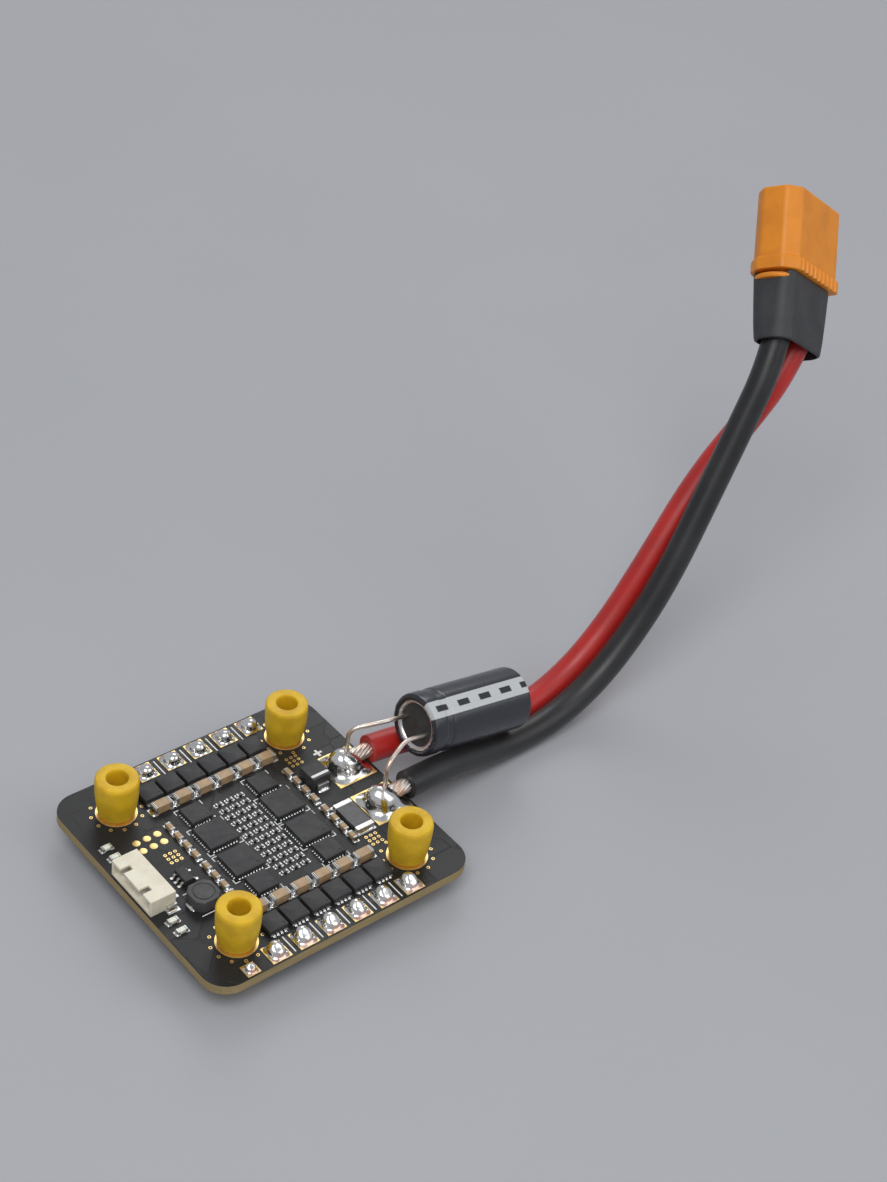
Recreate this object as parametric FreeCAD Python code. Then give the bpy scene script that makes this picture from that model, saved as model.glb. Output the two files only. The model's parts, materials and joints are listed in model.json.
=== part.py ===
import FreeCAD, Part
import math
import os

# Four-in-one electronic speed controller: one square board that drives four brushless
# motors, on soft rubber grommets, with its filter capacitor, battery lead and plug.
# Millimetres. +X is the front (signal socket), +Y the left side, +Z up.
# The origin is the centre of the mounting pattern, on the grommets' lower faces.

V = FreeCAD.Vector

# ---------------------------------------------------------------- mounting and board
mount_pitch = 30.5            # hole to hole, both ways
mount_hole_radius = 2.1       # hole in the board that the grommet's neck fills
board_thickness = 1.6         # its length and width follow from the parts on it
board_corner_radius = 4.0
grommet_foot_height = 4.0     # rubber below the board
grommet_barrel_height = 7.0   # rubber above the board
grommet_radius = 3.3
grommet_waist_radius = 2.75   # where the barrel meets the board
grommet_bore_radius = 1.6     # clears an M3 screw
grommet_neck_clearance = 0.05
grommet_lip = 0.4             # rounding of the grommet's rims

# ---------------------------------------------------------------- solder pads and joints
pad_thickness = 0.1
motor_pads_per_side = 6
motor_pad_pitch = 4.75
motor_pad_length = 3.3        # along X
motor_pad_width = 3.4         # along Y
motor_pad_edge_gap = 0.3      # from the pad to the board's edge
motor_joint_radius = 1.45
motor_joint_height = 1.7
auxiliary_pad_x = 16.7
auxiliary_pad_size = 2.2
auxiliary_joint_radius = 0.95
auxiliary_joint_height = 1.0
battery_pad_spacing = 9.4     # positive to negative, along Y
battery_pad_length = 7.0
battery_pad_width = 7.2
battery_pad_edge_gap = 0.5
battery_pad_diode_gap = 0.5   # to the surge diode
battery_joint_length = 6.6
battery_joint_width = 6.4
battery_joint_height = 3.6

# ---------------------------------------------------------------- power transistors
transistors_per_row = 6
transistor_pitch = 3.75
transistor_size = 3.3
transistor_height = 0.8
transistor_pad_gap = 0.85     # from its leads to the motor pads
frame_thickness = 0.2         # tinned leadframe under the moulding
frame_reach = 0.2             # how far its leads stick out of the moulding
frame_lead_width = 0.4
frame_lead_pitch = 0.65
frame_leads = 4

# ---------------------------------------------------------------- control chips
chip_bevel = 0.08
controller_size = 5.0
controller_height = 0.85
controller_gap = 1.4          # between the two that face each other along Y
driver_size = 3.6
driver_height = 0.8
driver_gap = 0.8              # from a controller to its gate driver
regulator_length = 2.9
regulator_width = 1.6
regulator_height = 1.1
regulator_place = (14.6, 1.4)
amplifier_edge_gap = 1.15     # from the board's rear edge
amplifier_pad_gap = 1.8       # from the negative battery pad
inductor_size = 4.2
inductor_height = 2.0
inductor_corner = 0.9
inductor_place = (14.8, 6.4)
surge_diode_size = (3.4, 4.6)
surge_diode_height = 2.2
surge_diode_y = -4.8
surge_diode_gap = 0.5         # from the small capacitors' column
surge_diode_tab = 0.5
surge_diode_tab_width = 2.0

# ---------------------------------------------------------------- two-ended chip parts
# each: length, width, height, terminal length
large_capacitor = (3.1, 1.5, 1.4, 0.5)
small_capacitor = (1.6, 0.8, 0.75, 0.3)
small_resistor = (1.0, 0.5, 0.35, 0.22)
shunt = (6.2, 3.1, 0.8, 0.8)
status_light = (1.6, 0.8, 0.6, 0.3)
large_capacitor_gap = 1.35    # from the gate drivers to the row
large_capacitor_transistor_gap = 0.8
small_capacitor_gap = 1.8     # from the controllers to its column
small_capacitor_ys = (1.4, 3.6, 5.8, 8.0)
resistor_columns_x = (-1.9, 0.0, 1.9)
resistor_controller_gap = 1.1
resistor_rows = 6
resistor_row_pitch = 1.5
shunt_y = 4.8
status_light_edge_gap = 1.6   # from the board's front edge
status_light_ys = (7.4, 9.6)

# ---------------------------------------------------------------- signal socket (1 mm pitch)
socket_ways = 8
socket_pitch = 1.0
socket_end_width = 1.5        # housing beyond the outer contacts
socket_depth = 4.2
socket_height = 2.9
socket_wall = 0.5
socket_back_wall = 0.9
socket_edge_gap = 0.3
socket_pin = 0.3
socket_pin_reach = 2.2        # into the cavity
socket_pin_tail = 0.9         # solder tail behind the housing
socket_tab = (1.6, 0.5, 0.9)  # side anchor: length, width, height
socket_notch_spacing = 4.8    # between the two latch notches
socket_notch_length = 1.6

# ---------------------------------------------------------------- heat spreader
thermal_pad_thickness = 0.5
thermal_pad_width = 3.6
heat_sink_thickness = 1.8
heat_sink_end_overhang = 0.275  # beyond the transistor rows, along X
heat_sink_overhang = 0.5      # beyond the thermal pads, along Y
heat_sink_grooves = 9
heat_sink_groove_width = 1.2
heat_sink_groove_depth = 0.7

# ---------------------------------------------------------------- filter capacitor
can_radius = 4.85
can_length = 20.0
can_wall = 0.3
can_front_x = -28.0           # middle of its front end
can_front_z = 13.3
can_tilt = 10.6               # degrees; its rear end sinks as the wires below it do
can_groove_depth = 0.45
can_groove_width = 1.6
can_groove_from_front = 3.2
sleeve_thickness = 0.15
sleeve_lip = 0.8
seal_thickness = 2.0
seal_recess = 0.4
winding_clearance = 0.35
winding_end_gap = 1.0
capacitor_lead_radius = 0.35
capacitor_lead_pitch = 5.0
capacitor_lead_straight = 4.0 # from the can's front end to the first bend
capacitor_lead_bend_share = 0.35

# ---------------------------------------------------------------- battery lead
wire_radius = 2.25            # silicone insulation, 12 AWG
core_radius = 1.25            # bare strands where the insulation is stripped
core_board_length = 5.6       # stripped length over each battery pad
core_lift = 0.15              # solder between the strands and the pad
wire_board_gap = 0.3          # from the board's edge to the insulation
wire_end_in_boot = 3.6        # how far the insulation goes into the boot
wire_end_shift = -0.5         # of its end from the cup's line, across the plug's depth
bend_share = 0.45             # of the shorter run beside each bend
# The bends between the board and the plug; the two ends come from the pads and the cups.
positive_bends = [
    (-31.0, -4.2, 6.6), (-38.5, -3.2, 4.1), (-46.0, -2.5, 2.3), (-55.0, -2.6, 2.3),
    (-64.2, -3.0, 5.6), (-71.8, -3.4, 11.9), (-78.8, -3.8, 21.1), (-89.1, -5.4, 33.2),
    (-97.2, -5.0, 41.6), (-103.6, -4.7, 49.0),
]
negative_bends = [
    (-31.0, 4.2, 6.6), (-38.5, 3.2, 4.1), (-46.0, 2.5, 2.3), (-55.0, 2.2, 2.3),
    (-64.2, 1.8, 5.6), (-71.8, 1.4, 12.1), (-78.8, 1.0, 21.7), (-87.6, -1.2, 34.9),
    (-93.8, -2.7, 44.5), (-98.8, -4.0, 52.4),
]

# ---------------------------------------------------------------- battery plug
# Its own frame: x across the two pins towards the positive one, z towards the mouth,
# with its zero at the boot's open end.
plug_place = V(-103.7, -5.0, 53.7)
plug_wide_axis = V(-0.8161, -0.0071, -0.5778)
plug_mouth_axis = V(-0.4779, -0.5539, 0.6818)
plug_width = 16.0
plug_depth = 8.1
plug_corner_cut = 2.0         # the two sloping corners at the negative end
plug_wall = 0.9
plug_pin_spacing = 7.2
boot_length = 11.0
boot_inset = 0.3              # of the boot inside the housing's outline
boot_wall = 0.6
boot_corner_radius = 1.8
flange_height = 2.2
flange_reach = 0.35
rib_count = 9
rib_pitch = 1.5
rib_width = 0.7
rib_reach = 0.25
shell_height = 11.6           # from the flange to the mouth
shell_edge_radius = 0.5       # its upright edges
floor_thickness = 2.0         # solid stretch that holds the pins
neck_length = 2.4             # what the boot is pushed over
neck_clearance = 0.1
pin_radius = 1.75
pin_length = 9.8              # free length inside the mouth
pin_slot = 0.5
pin_slot_depth = 7.5
pin_tip_bevel = 0.5
cup_radius = 2.1
cup_bore_radius = 1.45
cup_depth = 3.6
cup_start = 4.6               # from the boot's open end to the cup's rim

# ---------------------------------------------------------------- worked-out places
board_bottom = grommet_foot_height
board_top = board_bottom + board_thickness
pad_top = board_top + pad_thickness
half_pitch = mount_pitch / 2
# The columns of parts along the board, from its middle to its rear edge.
controller_x = (resistor_columns_x[-1] + small_resistor[0] / 2 + resistor_controller_gap
                + controller_size / 2)
small_capacitor_x = (controller_x + controller_size / 2 + small_capacitor_gap
                     + small_capacitor[1] / 2)
surge_diode_x = -(small_capacitor_x + small_capacitor[1] / 2 + surge_diode_gap
                  + surge_diode_size[0] / 2)
battery_pad_x = (surge_diode_x - surge_diode_size[0] / 2 - battery_pad_diode_gap
                 - battery_pad_length / 2)
board_length = 2 * (battery_pad_length / 2 + battery_pad_edge_gap - battery_pad_x)
transistor_row_length = transistor_pitch * (transistors_per_row - 1) + transistor_size
heat_sink_length = transistor_row_length + 2 * heat_sink_end_overhang
# The rows of parts across the board, from its middle to its side edge.
controller_y = (controller_gap + controller_size) / 2
driver_y = controller_y + controller_size / 2 + driver_gap + driver_size / 2
large_capacitor_row_y = (driver_y + driver_size / 2 + large_capacitor_gap
                         + large_capacitor[1] / 2)
transistor_row_y = (large_capacitor_row_y + large_capacitor[1] / 2
                    + large_capacitor_transistor_gap + frame_reach + transistor_size / 2)
motor_pad_row_y = (transistor_row_y + transistor_size / 2 + frame_reach + transistor_pad_gap
                   + motor_pad_width / 2)
board_width = 2 * (motor_pad_row_y + motor_pad_width / 2 + motor_pad_edge_gap)


# ================================================================ general helpers
def block(center_x, center_y, low_z, length, width, height):
    """A box centred over a point, standing on a height."""
    corner = V(center_x - length / 2, center_y - width / 2, low_z)
    return Part.makeBox(length, width, height, corner)


def edges_along_z(shape):
    """The straight edges of a shape that run up and down."""
    found = []
    for edge in shape.Edges:
        span = edge.BoundBox
        if span.ZLength > 0.01 and span.XLength < 1e-6 and span.YLength < 1e-6:
            found.append(edge)
    return found


def edges_at_height(shape, height):
    """The edges of a shape that lie wholly at one height."""
    found = []
    for edge in shape.Edges:
        span = edge.BoundBox
        if abs(span.ZMin - height) < 1e-5 and abs(span.ZMax - height) < 1e-5:
            found.append(edge)
    return found


def rounded_block(center_x, center_y, low_z, length, width, height, radius):
    """A box whose upright edges are rounded."""
    solid = block(center_x, center_y, low_z, length, width, height)
    return solid.makeFillet(radius, edges_along_z(solid))


def spun(points, place, axis):
    """A solid turned from (radius, height) points about an axis through a place."""
    outline = [V(radius, 0, height) for radius, height in points]
    face = Part.Face(Part.makePolygon(outline + outline[:1]))
    solid = face.revolve(V(0, 0, 0), V(0, 0, 1), 360)
    solid.Placement = FreeCAD.Placement(place, FreeCAD.Rotation(V(0, 0, 1), axis))
    return solid


def tube_path(route, share):
    """Straight runs joined by tangent arcs; returns the wire and the arcs' radii."""
    points = [V(*point) for point in route]
    edges = []
    radii = []
    start = points[0]
    for index in range(1, len(points) - 1):
        corner = points[index]
        incoming = corner - points[index - 1]
        outgoing = points[index + 1] - corner
        shorter = min(incoming.Length, outgoing.Length)
        half_turn = incoming.getAngle(outgoing) / 2
        tangent = share * shorter
        radius = tangent / math.tan(half_turn)
        incoming.normalize()
        outgoing.normalize()
        arc_start = corner - incoming * tangent
        arc_end = corner + outgoing * tangent
        inward = outgoing - incoming
        inward.normalize()
        sagitta = radius / math.cos(half_turn) - radius
        edges.append(Part.LineSegment(start, arc_start).toShape())
        edges.append(Part.Arc(arc_start, corner + inward * sagitta, arc_end).toShape())
        radii.append(radius)
        start = arc_end
    edges.append(Part.LineSegment(start, points[-1]).toShape())
    return Part.Wire(edges), radii


def tube(route, radius, share):
    """A round rod swept along a route of points."""
    path, radii = tube_path(route, share)
    first = V(*route[0])
    heading = V(*route[1]) - first
    section = Part.Wire(Part.Circle(first, heading, radius).toShape())
    solid = path.makePipeShell([section], True, False)
    return solid, path.Length, radii


def both_sides(values):
    """Each value with its mirror image."""
    return [sign * value for value in values for sign in (1, -1)]


# ================================================================ board and grommets
def mount_places():
    """Names and centres of the four mounting holes."""
    return {
        "front_left": (half_pitch, half_pitch),
        "front_right": (half_pitch, -half_pitch),
        "rear_left": (-half_pitch, half_pitch),
        "rear_right": (-half_pitch, -half_pitch),
    }


def make_board():
    board = rounded_block(0, 0, board_bottom, board_length, board_width, board_thickness,
                          board_corner_radius)
    for x, y in mount_places().values():
        board = board.cut(Part.makeCylinder(mount_hole_radius, board_thickness,
                                            V(x, y, board_bottom)))
    return board


def make_grommet(x, y):
    """Foot, neck through the board and a barrel that widens upwards, with a bore."""
    neck_radius = mount_hole_radius - grommet_neck_clearance
    top = board_top + grommet_barrel_height
    profile = [
        (grommet_bore_radius, 0),
        (grommet_radius - grommet_lip, 0),
        (grommet_radius, grommet_lip),
        (grommet_radius, board_bottom - grommet_lip),
        (grommet_radius - grommet_lip, board_bottom),
        (neck_radius, board_bottom),
        (neck_radius, board_top),
        (grommet_waist_radius - grommet_lip, board_top),
        (grommet_waist_radius, board_top + grommet_lip),
        (grommet_radius, board_top + grommet_barrel_height / 2),
        (grommet_radius, top - grommet_lip),
        (grommet_radius - grommet_lip, top),
        (grommet_bore_radius, top),
    ]
    return spun(profile, V(x, y, 0), V(0, 0, 1))


# ================================================================ pads and solder
def motor_pad_places():
    first = -motor_pad_pitch * (motor_pads_per_side - 1) / 2
    xs = [first + motor_pad_pitch * index for index in range(motor_pads_per_side)]
    return [(x, side * motor_pad_row_y) for side in (1, -1) for x in xs]


def auxiliary_pad_place():
    y = board_width / 2 - motor_pad_edge_gap - auxiliary_pad_size / 2
    return auxiliary_pad_x, y


def battery_pad_places():
    y = battery_pad_spacing / 2
    return {"positive": (battery_pad_x, -y), "negative": (battery_pad_x, y)}


def pad(x, y, length, width):
    return block(x, y, board_top, length, width, pad_thickness)


def solder_dome(x, y, radius, height):
    """A drop of solder: a spherical cap standing on its pad."""
    ball_radius = (radius * radius + height * height) / (2 * height)
    ball = Part.makeSphere(ball_radius, V(x, y, pad_top + height - ball_radius))
    return ball.common(block(x, y, pad_top, 2 * ball_radius, 2 * ball_radius, 2 * height))


def battery_joint(x, y, inserts):
    """A long mound of solder that holds the stripped wire and a capacitor lead."""
    mound = Part.makeSphere(1.0)
    stretch = FreeCAD.Matrix()
    stretch.scale(battery_joint_length / 2, battery_joint_width / 2, battery_joint_height)
    mound = mound.transformGeometry(stretch)
    mound.translate(V(x, y, pad_top))
    mound = mound.common(block(x, y, pad_top, battery_joint_length, battery_joint_width,
                               battery_joint_height))
    for insert in inserts:
        mound = mound.cut(insert)
    return mound


# ================================================================ chips
def chip(x, y, size_x, size_y, height):
    """A moulded body on the board's top with a fine bevel round its upper face."""
    body = block(x, y, board_top, size_x, size_y, height)
    return body.makeChamfer(chip_bevel, edges_at_height(body, board_top + height))


def power_transistor(x, y, low_z, facing_up):
    """A moulded body on a toothed leadframe whose leads point to the board's edge."""
    outward = 1 if y > 0 else -1
    frame = block(x, y, 0, transistor_size - 2 * frame_reach,
                  transistor_size + 2 * frame_reach, frame_thickness)
    tooth_y = y + outward * (transistor_size / 2)
    gap = frame_lead_pitch - frame_lead_width
    for index in range(frame_leads - 1):
        gap_x = x + (index - (frame_leads - 2) / 2) * frame_lead_pitch
        frame = frame.cut(block(gap_x, tooth_y, 0, gap, 4 * frame_reach, frame_thickness))
    body = block(x, y, frame_thickness, transistor_size, transistor_size, transistor_height)
    body = body.makeChamfer(chip_bevel, edges_at_height(body, frame_thickness + transistor_height))
    if not facing_up:
        middle = V(x, y, 0)
        frame.rotate(middle, V(0, 1, 0), 180)
        body.rotate(middle, V(0, 1, 0), 180)
    frame.translate(V(0, 0, low_z))
    body.translate(V(0, 0, low_z))
    return body, frame


def two_ended(x, y, low_z, sizes, along_y):
    """A chip part: its middle and its two metal ends."""
    length, width, height, terminal = sizes
    middle = block(0, 0, 0, length - 2 * terminal, width, height)
    ends = [block(side * (length - terminal) / 2, 0, 0, terminal, width, height)
            for side in (1, -1)]
    for solid in [middle] + ends:
        if along_y:
            solid.rotate(V(0, 0, 0), V(0, 0, 1), 90)
        solid.translate(V(x, y, low_z))
    return middle, ends


def two_ended_group(places, low_z, sizes, along_y):
    """Many equal chip parts: their middles and all their ends."""
    middles = []
    ends = []
    for x, y in places:
        middle, pair = two_ended(x, y, low_z, sizes, along_y)
        middles.append(middle)
        ends.extend(pair)
    return middles, ends


def transistor_places():
    first = -transistor_pitch * (transistors_per_row - 1) / 2
    xs = [first + transistor_pitch * index for index in range(transistors_per_row)]
    return [(x, side * transistor_row_y) for side in (1, -1) for x in xs]


def large_capacitor_places():
    return [(x, math.copysign(large_capacitor_row_y, y)) for x, y in transistor_places()]


def small_capacitor_places():
    return [(x, y) for x in both_sides([small_capacitor_x]) for y in both_sides(small_capacitor_ys)]


def resistor_places():
    first = resistor_row_pitch / 2
    rows = [first + resistor_row_pitch * index for index in range(resistor_rows)]
    return [(x, y) for x in resistor_columns_x for y in both_sides(rows)]


def status_light_places():
    x = board_length / 2 - status_light_edge_gap - status_light[0] / 2
    return [(x, y) for y in both_sides(status_light_ys)]


def four_corners(x, y):
    return [(side_x * x, side_y * y) for side_x in (1, -1) for side_y in (1, -1)]


def make_inductor():
    """A square shielded coil with cut corners."""
    x, y = inductor_place
    body = block(x, y, board_top, inductor_size, inductor_size, inductor_height)
    return body.makeChamfer(inductor_corner, edges_along_z(body))


def make_surge_diode():
    """A moulded block between two folded metal tabs."""
    x, y = surge_diode_x, surge_diode_y
    size_x, size_y = surge_diode_size
    body = chip(x, y, size_x, size_y - 2 * surge_diode_tab, surge_diode_height)
    tabs = [block(x, y + side * (size_y - surge_diode_tab) / 2, board_top,
                  surge_diode_tab_width, surge_diode_tab, surge_diode_height / 2)
            for side in (1, -1)]
    return body, tabs


# ================================================================ signal socket
def make_socket():
    """A side-entry header: shell, contacts and the two side anchors."""
    span = socket_pitch * (socket_ways - 1)
    width = span + 2 * socket_end_width
    front = board_length / 2 - socket_edge_gap
    back = front - socket_depth
    middle = (front + back) / 2
    shell = block(middle, 0, board_top, socket_depth, width, socket_height)
    cavity_depth = socket_depth - socket_back_wall
    cavity = block(front - cavity_depth / 2, 0, board_top + socket_wall, cavity_depth,
                   width - 2 * socket_wall, socket_height - 2 * socket_wall)
    shell = shell.cut(cavity)
    for side in (1, -1):
        notch = block(front - socket_notch_length / 2, side * socket_notch_spacing / 2,
                      board_top + socket_height - socket_wall, socket_notch_length,
                      socket_pitch, socket_wall)
        shell = shell.cut(notch)
    pin_z = board_top + socket_height / 2 - socket_pin / 2
    pins = []
    for index in range(socket_ways):
        y = -span / 2 + index * socket_pitch
        run = socket_pin_reach + socket_back_wall + socket_pin
        bar = block(back + socket_back_wall + socket_pin_reach - run / 2, y, pin_z, run,
                    socket_pin, socket_pin)
        drop = block(back - socket_pin / 2, y, board_top, socket_pin, socket_pin,
                     pin_z - board_top + socket_pin)
        tail = block(back - socket_pin_tail / 2, y, board_top, socket_pin_tail, socket_pin,
                     socket_pin)
        pin = bar.fuse([drop, tail]).removeSplitter()
        shell = shell.cut(pin)
        pins.append(pin)
    length, tab_width, height = socket_tab
    tabs = [block(back + length / 2, side * (width + tab_width) / 2, board_top, length,
                  tab_width, height) for side in (1, -1)]
    return shell, pins, tabs


# ================================================================ heat spreader
def make_heat_spreader():
    """Two soft strips against the lower transistors and a grooved plate under them."""
    strip_z = board_bottom - frame_thickness - transistor_height - thermal_pad_thickness
    strips = [block(0, side * transistor_row_y, strip_z, heat_sink_length, thermal_pad_width,
                    thermal_pad_thickness) for side in (1, -1)]
    sink_z = strip_z - heat_sink_thickness
    sink_width = 2 * transistor_row_y + thermal_pad_width + 2 * heat_sink_overhang
    sink = block(0, 0, sink_z, heat_sink_length, sink_width, heat_sink_thickness)
    groove_pitch = sink_width / heat_sink_grooves
    for index in range(heat_sink_grooves):
        y = (index - (heat_sink_grooves - 1) / 2) * groove_pitch
        sink = sink.cut(block(0, y, sink_z, heat_sink_length, heat_sink_groove_width,
                              heat_sink_groove_depth))
    return strips, sink


# ================================================================ filter capacitor
def can_forward():
    """The direction that the can's front end faces."""
    tilt = math.radians(can_tilt)
    return V(math.cos(tilt), 0, math.sin(tilt))


def groove_line(radius):
    """Radius and distance from the front of the can's beaded outline."""
    half = can_groove_width / 2
    return [
        (radius, can_groove_from_front - half),
        (radius - can_groove_depth, can_groove_from_front - half / 2),
        (radius - can_groove_depth, can_groove_from_front + half / 2),
        (radius, can_groove_from_front + half),
    ]


def make_filter_capacitor():
    """Can, sleeve, rubber seal and winding, lying on the wires with its leads forward."""
    place = V(can_front_x, 0, can_front_z)
    rearward = -can_forward()
    inner = can_radius - can_wall
    can = spun([(inner, 0), (can_radius, 0)] + groove_line(can_radius)
               + [(can_radius, can_length), (0, can_length), (0, can_length - can_wall),
                  (inner, can_length - can_wall)] + groove_line(inner)[::-1],
               place, rearward)
    outer = can_radius + sleeve_thickness
    lip = can_radius - sleeve_lip
    sleeve = spun([(lip, -sleeve_thickness), (outer, -sleeve_thickness)] + groove_line(outer)
                  + [(outer, can_length + sleeve_thickness), (lip, can_length + sleeve_thickness),
                     (lip, can_length), (can_radius, can_length)]
                  + groove_line(can_radius)[::-1] + [(can_radius, 0), (lip, 0)],
                  place, rearward)
    seal_radius = inner - can_groove_depth
    seal = spun([(0, seal_recess), (seal_radius, seal_recess),
                 (seal_radius, seal_recess + seal_thickness), (0, seal_recess + seal_thickness)],
                place, rearward)
    winding_radius = inner - can_groove_depth - winding_clearance
    winding_start = seal_recess + seal_thickness + winding_end_gap
    winding_stop = can_length - can_wall
    winding = spun([(0, winding_start), (winding_radius, winding_start),
                    (winding_radius, winding_stop), (0, winding_stop)], place, rearward)
    return can, sleeve, seal, winding


def make_capacitor_lead(side, joint_place):
    """A tinned lead from the seal, bent down into the battery joint."""
    x, y = joint_place
    front = V(can_front_x, side * capacitor_lead_pitch / 2, can_front_z)
    route = [
        front - can_forward() * seal_recess,
        front + can_forward() * capacitor_lead_straight,
        V(x, y, can_front_z),
        V(x, y, pad_top + 2 * core_radius + 2 * capacitor_lead_radius),
    ]
    return tube(route, capacitor_lead_radius, capacitor_lead_bend_share)[0]


# ================================================================ battery lead
def wire_route(name, side, bends):
    """From the battery pad, through the bends, to the plug's solder cup."""
    start = V(-board_length / 2 - wire_board_gap, battery_pad_places()[name][1],
              pad_top + core_lift + core_radius)
    end = plug_placement().multVec(V(side * plug_pin_spacing / 2, wire_end_shift,
                                     wire_end_in_boot))
    return [tuple(start)] + bends + [tuple(end)]


def make_battery_wire(name, route):
    """The insulated wire, swept along its route, with its printed check."""
    solid, length, radii = tube(route, wire_radius, bend_share)
    expected = math.pi * wire_radius ** 2 * length
    print(name, "length", round(length, 1), "bend radii", [round(r, 1) for r in radii],
          "volume ratio", round(solid.Volume / expected, 4), "valid", solid.isValid())
    return solid


def core_on_board(route, wire):
    """Bare strands from the insulation to the middle of the battery pad."""
    start = V(*route[0])
    strands = Part.makeCylinder(core_radius, core_board_length, start, V(1, 0, 0))
    return strands.cut(wire)


# ================================================================ battery plug
def plug_placement():
    """Turns the plug's own frame into the part's frame."""
    thin_axis = plug_mouth_axis.cross(plug_wide_axis)
    turn = FreeCAD.Rotation(plug_wide_axis, thin_axis, plug_mouth_axis, "ZXY")
    return FreeCAD.Placement(plug_place, turn)


def plug_outline(inset, low_z, height):
    """The plug's section, a rectangle with two sloping corners, as a solid."""
    half_width = plug_width / 2 - inset
    half_depth = plug_depth / 2 - inset
    cut = plug_corner_cut - inset * math.tan(math.pi / 8)
    corners = [
        (half_width, half_depth), (cut - half_width, half_depth),
        (-half_width, half_depth - cut), (-half_width, cut - half_depth),
        (cut - half_width, -half_depth), (half_width, -half_depth),
    ]
    points = [V(x, y, low_z) for x, y in corners]
    face = Part.Face(Part.makePolygon(points + points[:1]))
    return face.extrude(V(0, 0, height))


def make_pin(side):
    """A slotted bullet pin with a solder cup behind it."""
    x = side * plug_pin_spacing / 2
    floor_top = boot_length + floor_thickness
    cup = Part.makeCylinder(cup_radius, floor_top - cup_start, V(x, 0, cup_start))
    cup = cup.cut(Part.makeCylinder(cup_bore_radius, cup_depth, V(x, 0, cup_start)))
    pin = Part.makeCylinder(pin_radius, pin_length, V(x, 0, floor_top))
    pin = pin.makeChamfer(pin_tip_bevel, edges_at_height(pin, floor_top + pin_length))
    slot_z = floor_top + pin_length - pin_slot_depth
    for length, width in ((2 * cup_radius, pin_slot), (pin_slot, 2 * cup_radius)):
        pin = pin.cut(block(x, 0, slot_z, length, width, pin_slot_depth))
    return cup.fuse(pin)


def make_housing(pins):
    """Moulded shell with its flange, grip ribs, pin floor and the neck for the boot."""
    floor_top = boot_length + floor_thickness
    shell = plug_outline(0, boot_length, flange_height + shell_height)
    shell = shell.makeFillet(shell_edge_radius, edges_along_z(shell))
    flange = plug_outline(-flange_reach, boot_length, flange_height)
    housing = shell.fuse(flange)
    for index in range(rib_count):
        x = plug_corner_cut / 2 + (index - (rib_count - 1) / 2) * rib_pitch
        reach = plug_depth + 2 * (flange_reach + rib_reach)
        housing = housing.fuse(block(x, 0, boot_length, rib_width, reach, flange_height))
    mouth = plug_outline(plug_wall, floor_top, flange_height + shell_height)
    housing = housing.cut(mouth)
    neck_inset = boot_inset + boot_wall + neck_clearance
    neck = rounded_block(0, 0, boot_length - neck_length, plug_width - 2 * neck_inset,
                         plug_depth - 2 * neck_inset, neck_length, boot_corner_radius - boot_wall)
    housing = housing.fuse(neck)
    for side in (1, -1):
        bore = Part.makeCylinder(cup_radius, floor_top, V(side * plug_pin_spacing / 2, 0, 0))
        housing = housing.cut(bore)
    return housing.removeSplitter()


def make_boot():
    """The soft cap pushed over the solder cups, open at the wires' end."""
    outer = rounded_block(0, 0, 0, plug_width - 2 * boot_inset, plug_depth - 2 * boot_inset,
                          boot_length, boot_corner_radius)
    inset = boot_inset + boot_wall
    inner = rounded_block(0, 0, 0, plug_width - 2 * inset, plug_depth - 2 * inset,
                          boot_length, boot_corner_radius - boot_wall)
    return outer.cut(inner)


def core_in_cup(side, route, wire):
    """Bare strands from the insulation into the solder cup."""
    reach = cup_start + cup_depth
    strands = Part.makeCylinder(core_radius, reach, V(side * plug_pin_spacing / 2, 0, 0))
    strands.Placement = plug_placement().multiply(strands.Placement)
    end = V(*route[-1])
    span = 2 * plug_width
    beyond = Part.makeBox(span, span, span, V(-span / 2, -span / 2, 0))
    heading = end - V(*route[-2])
    beyond.Placement = FreeCAD.Placement(end, FreeCAD.Rotation(V(0, 0, 1), heading))
    return strands.common(beyond).cut(wire)


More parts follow.
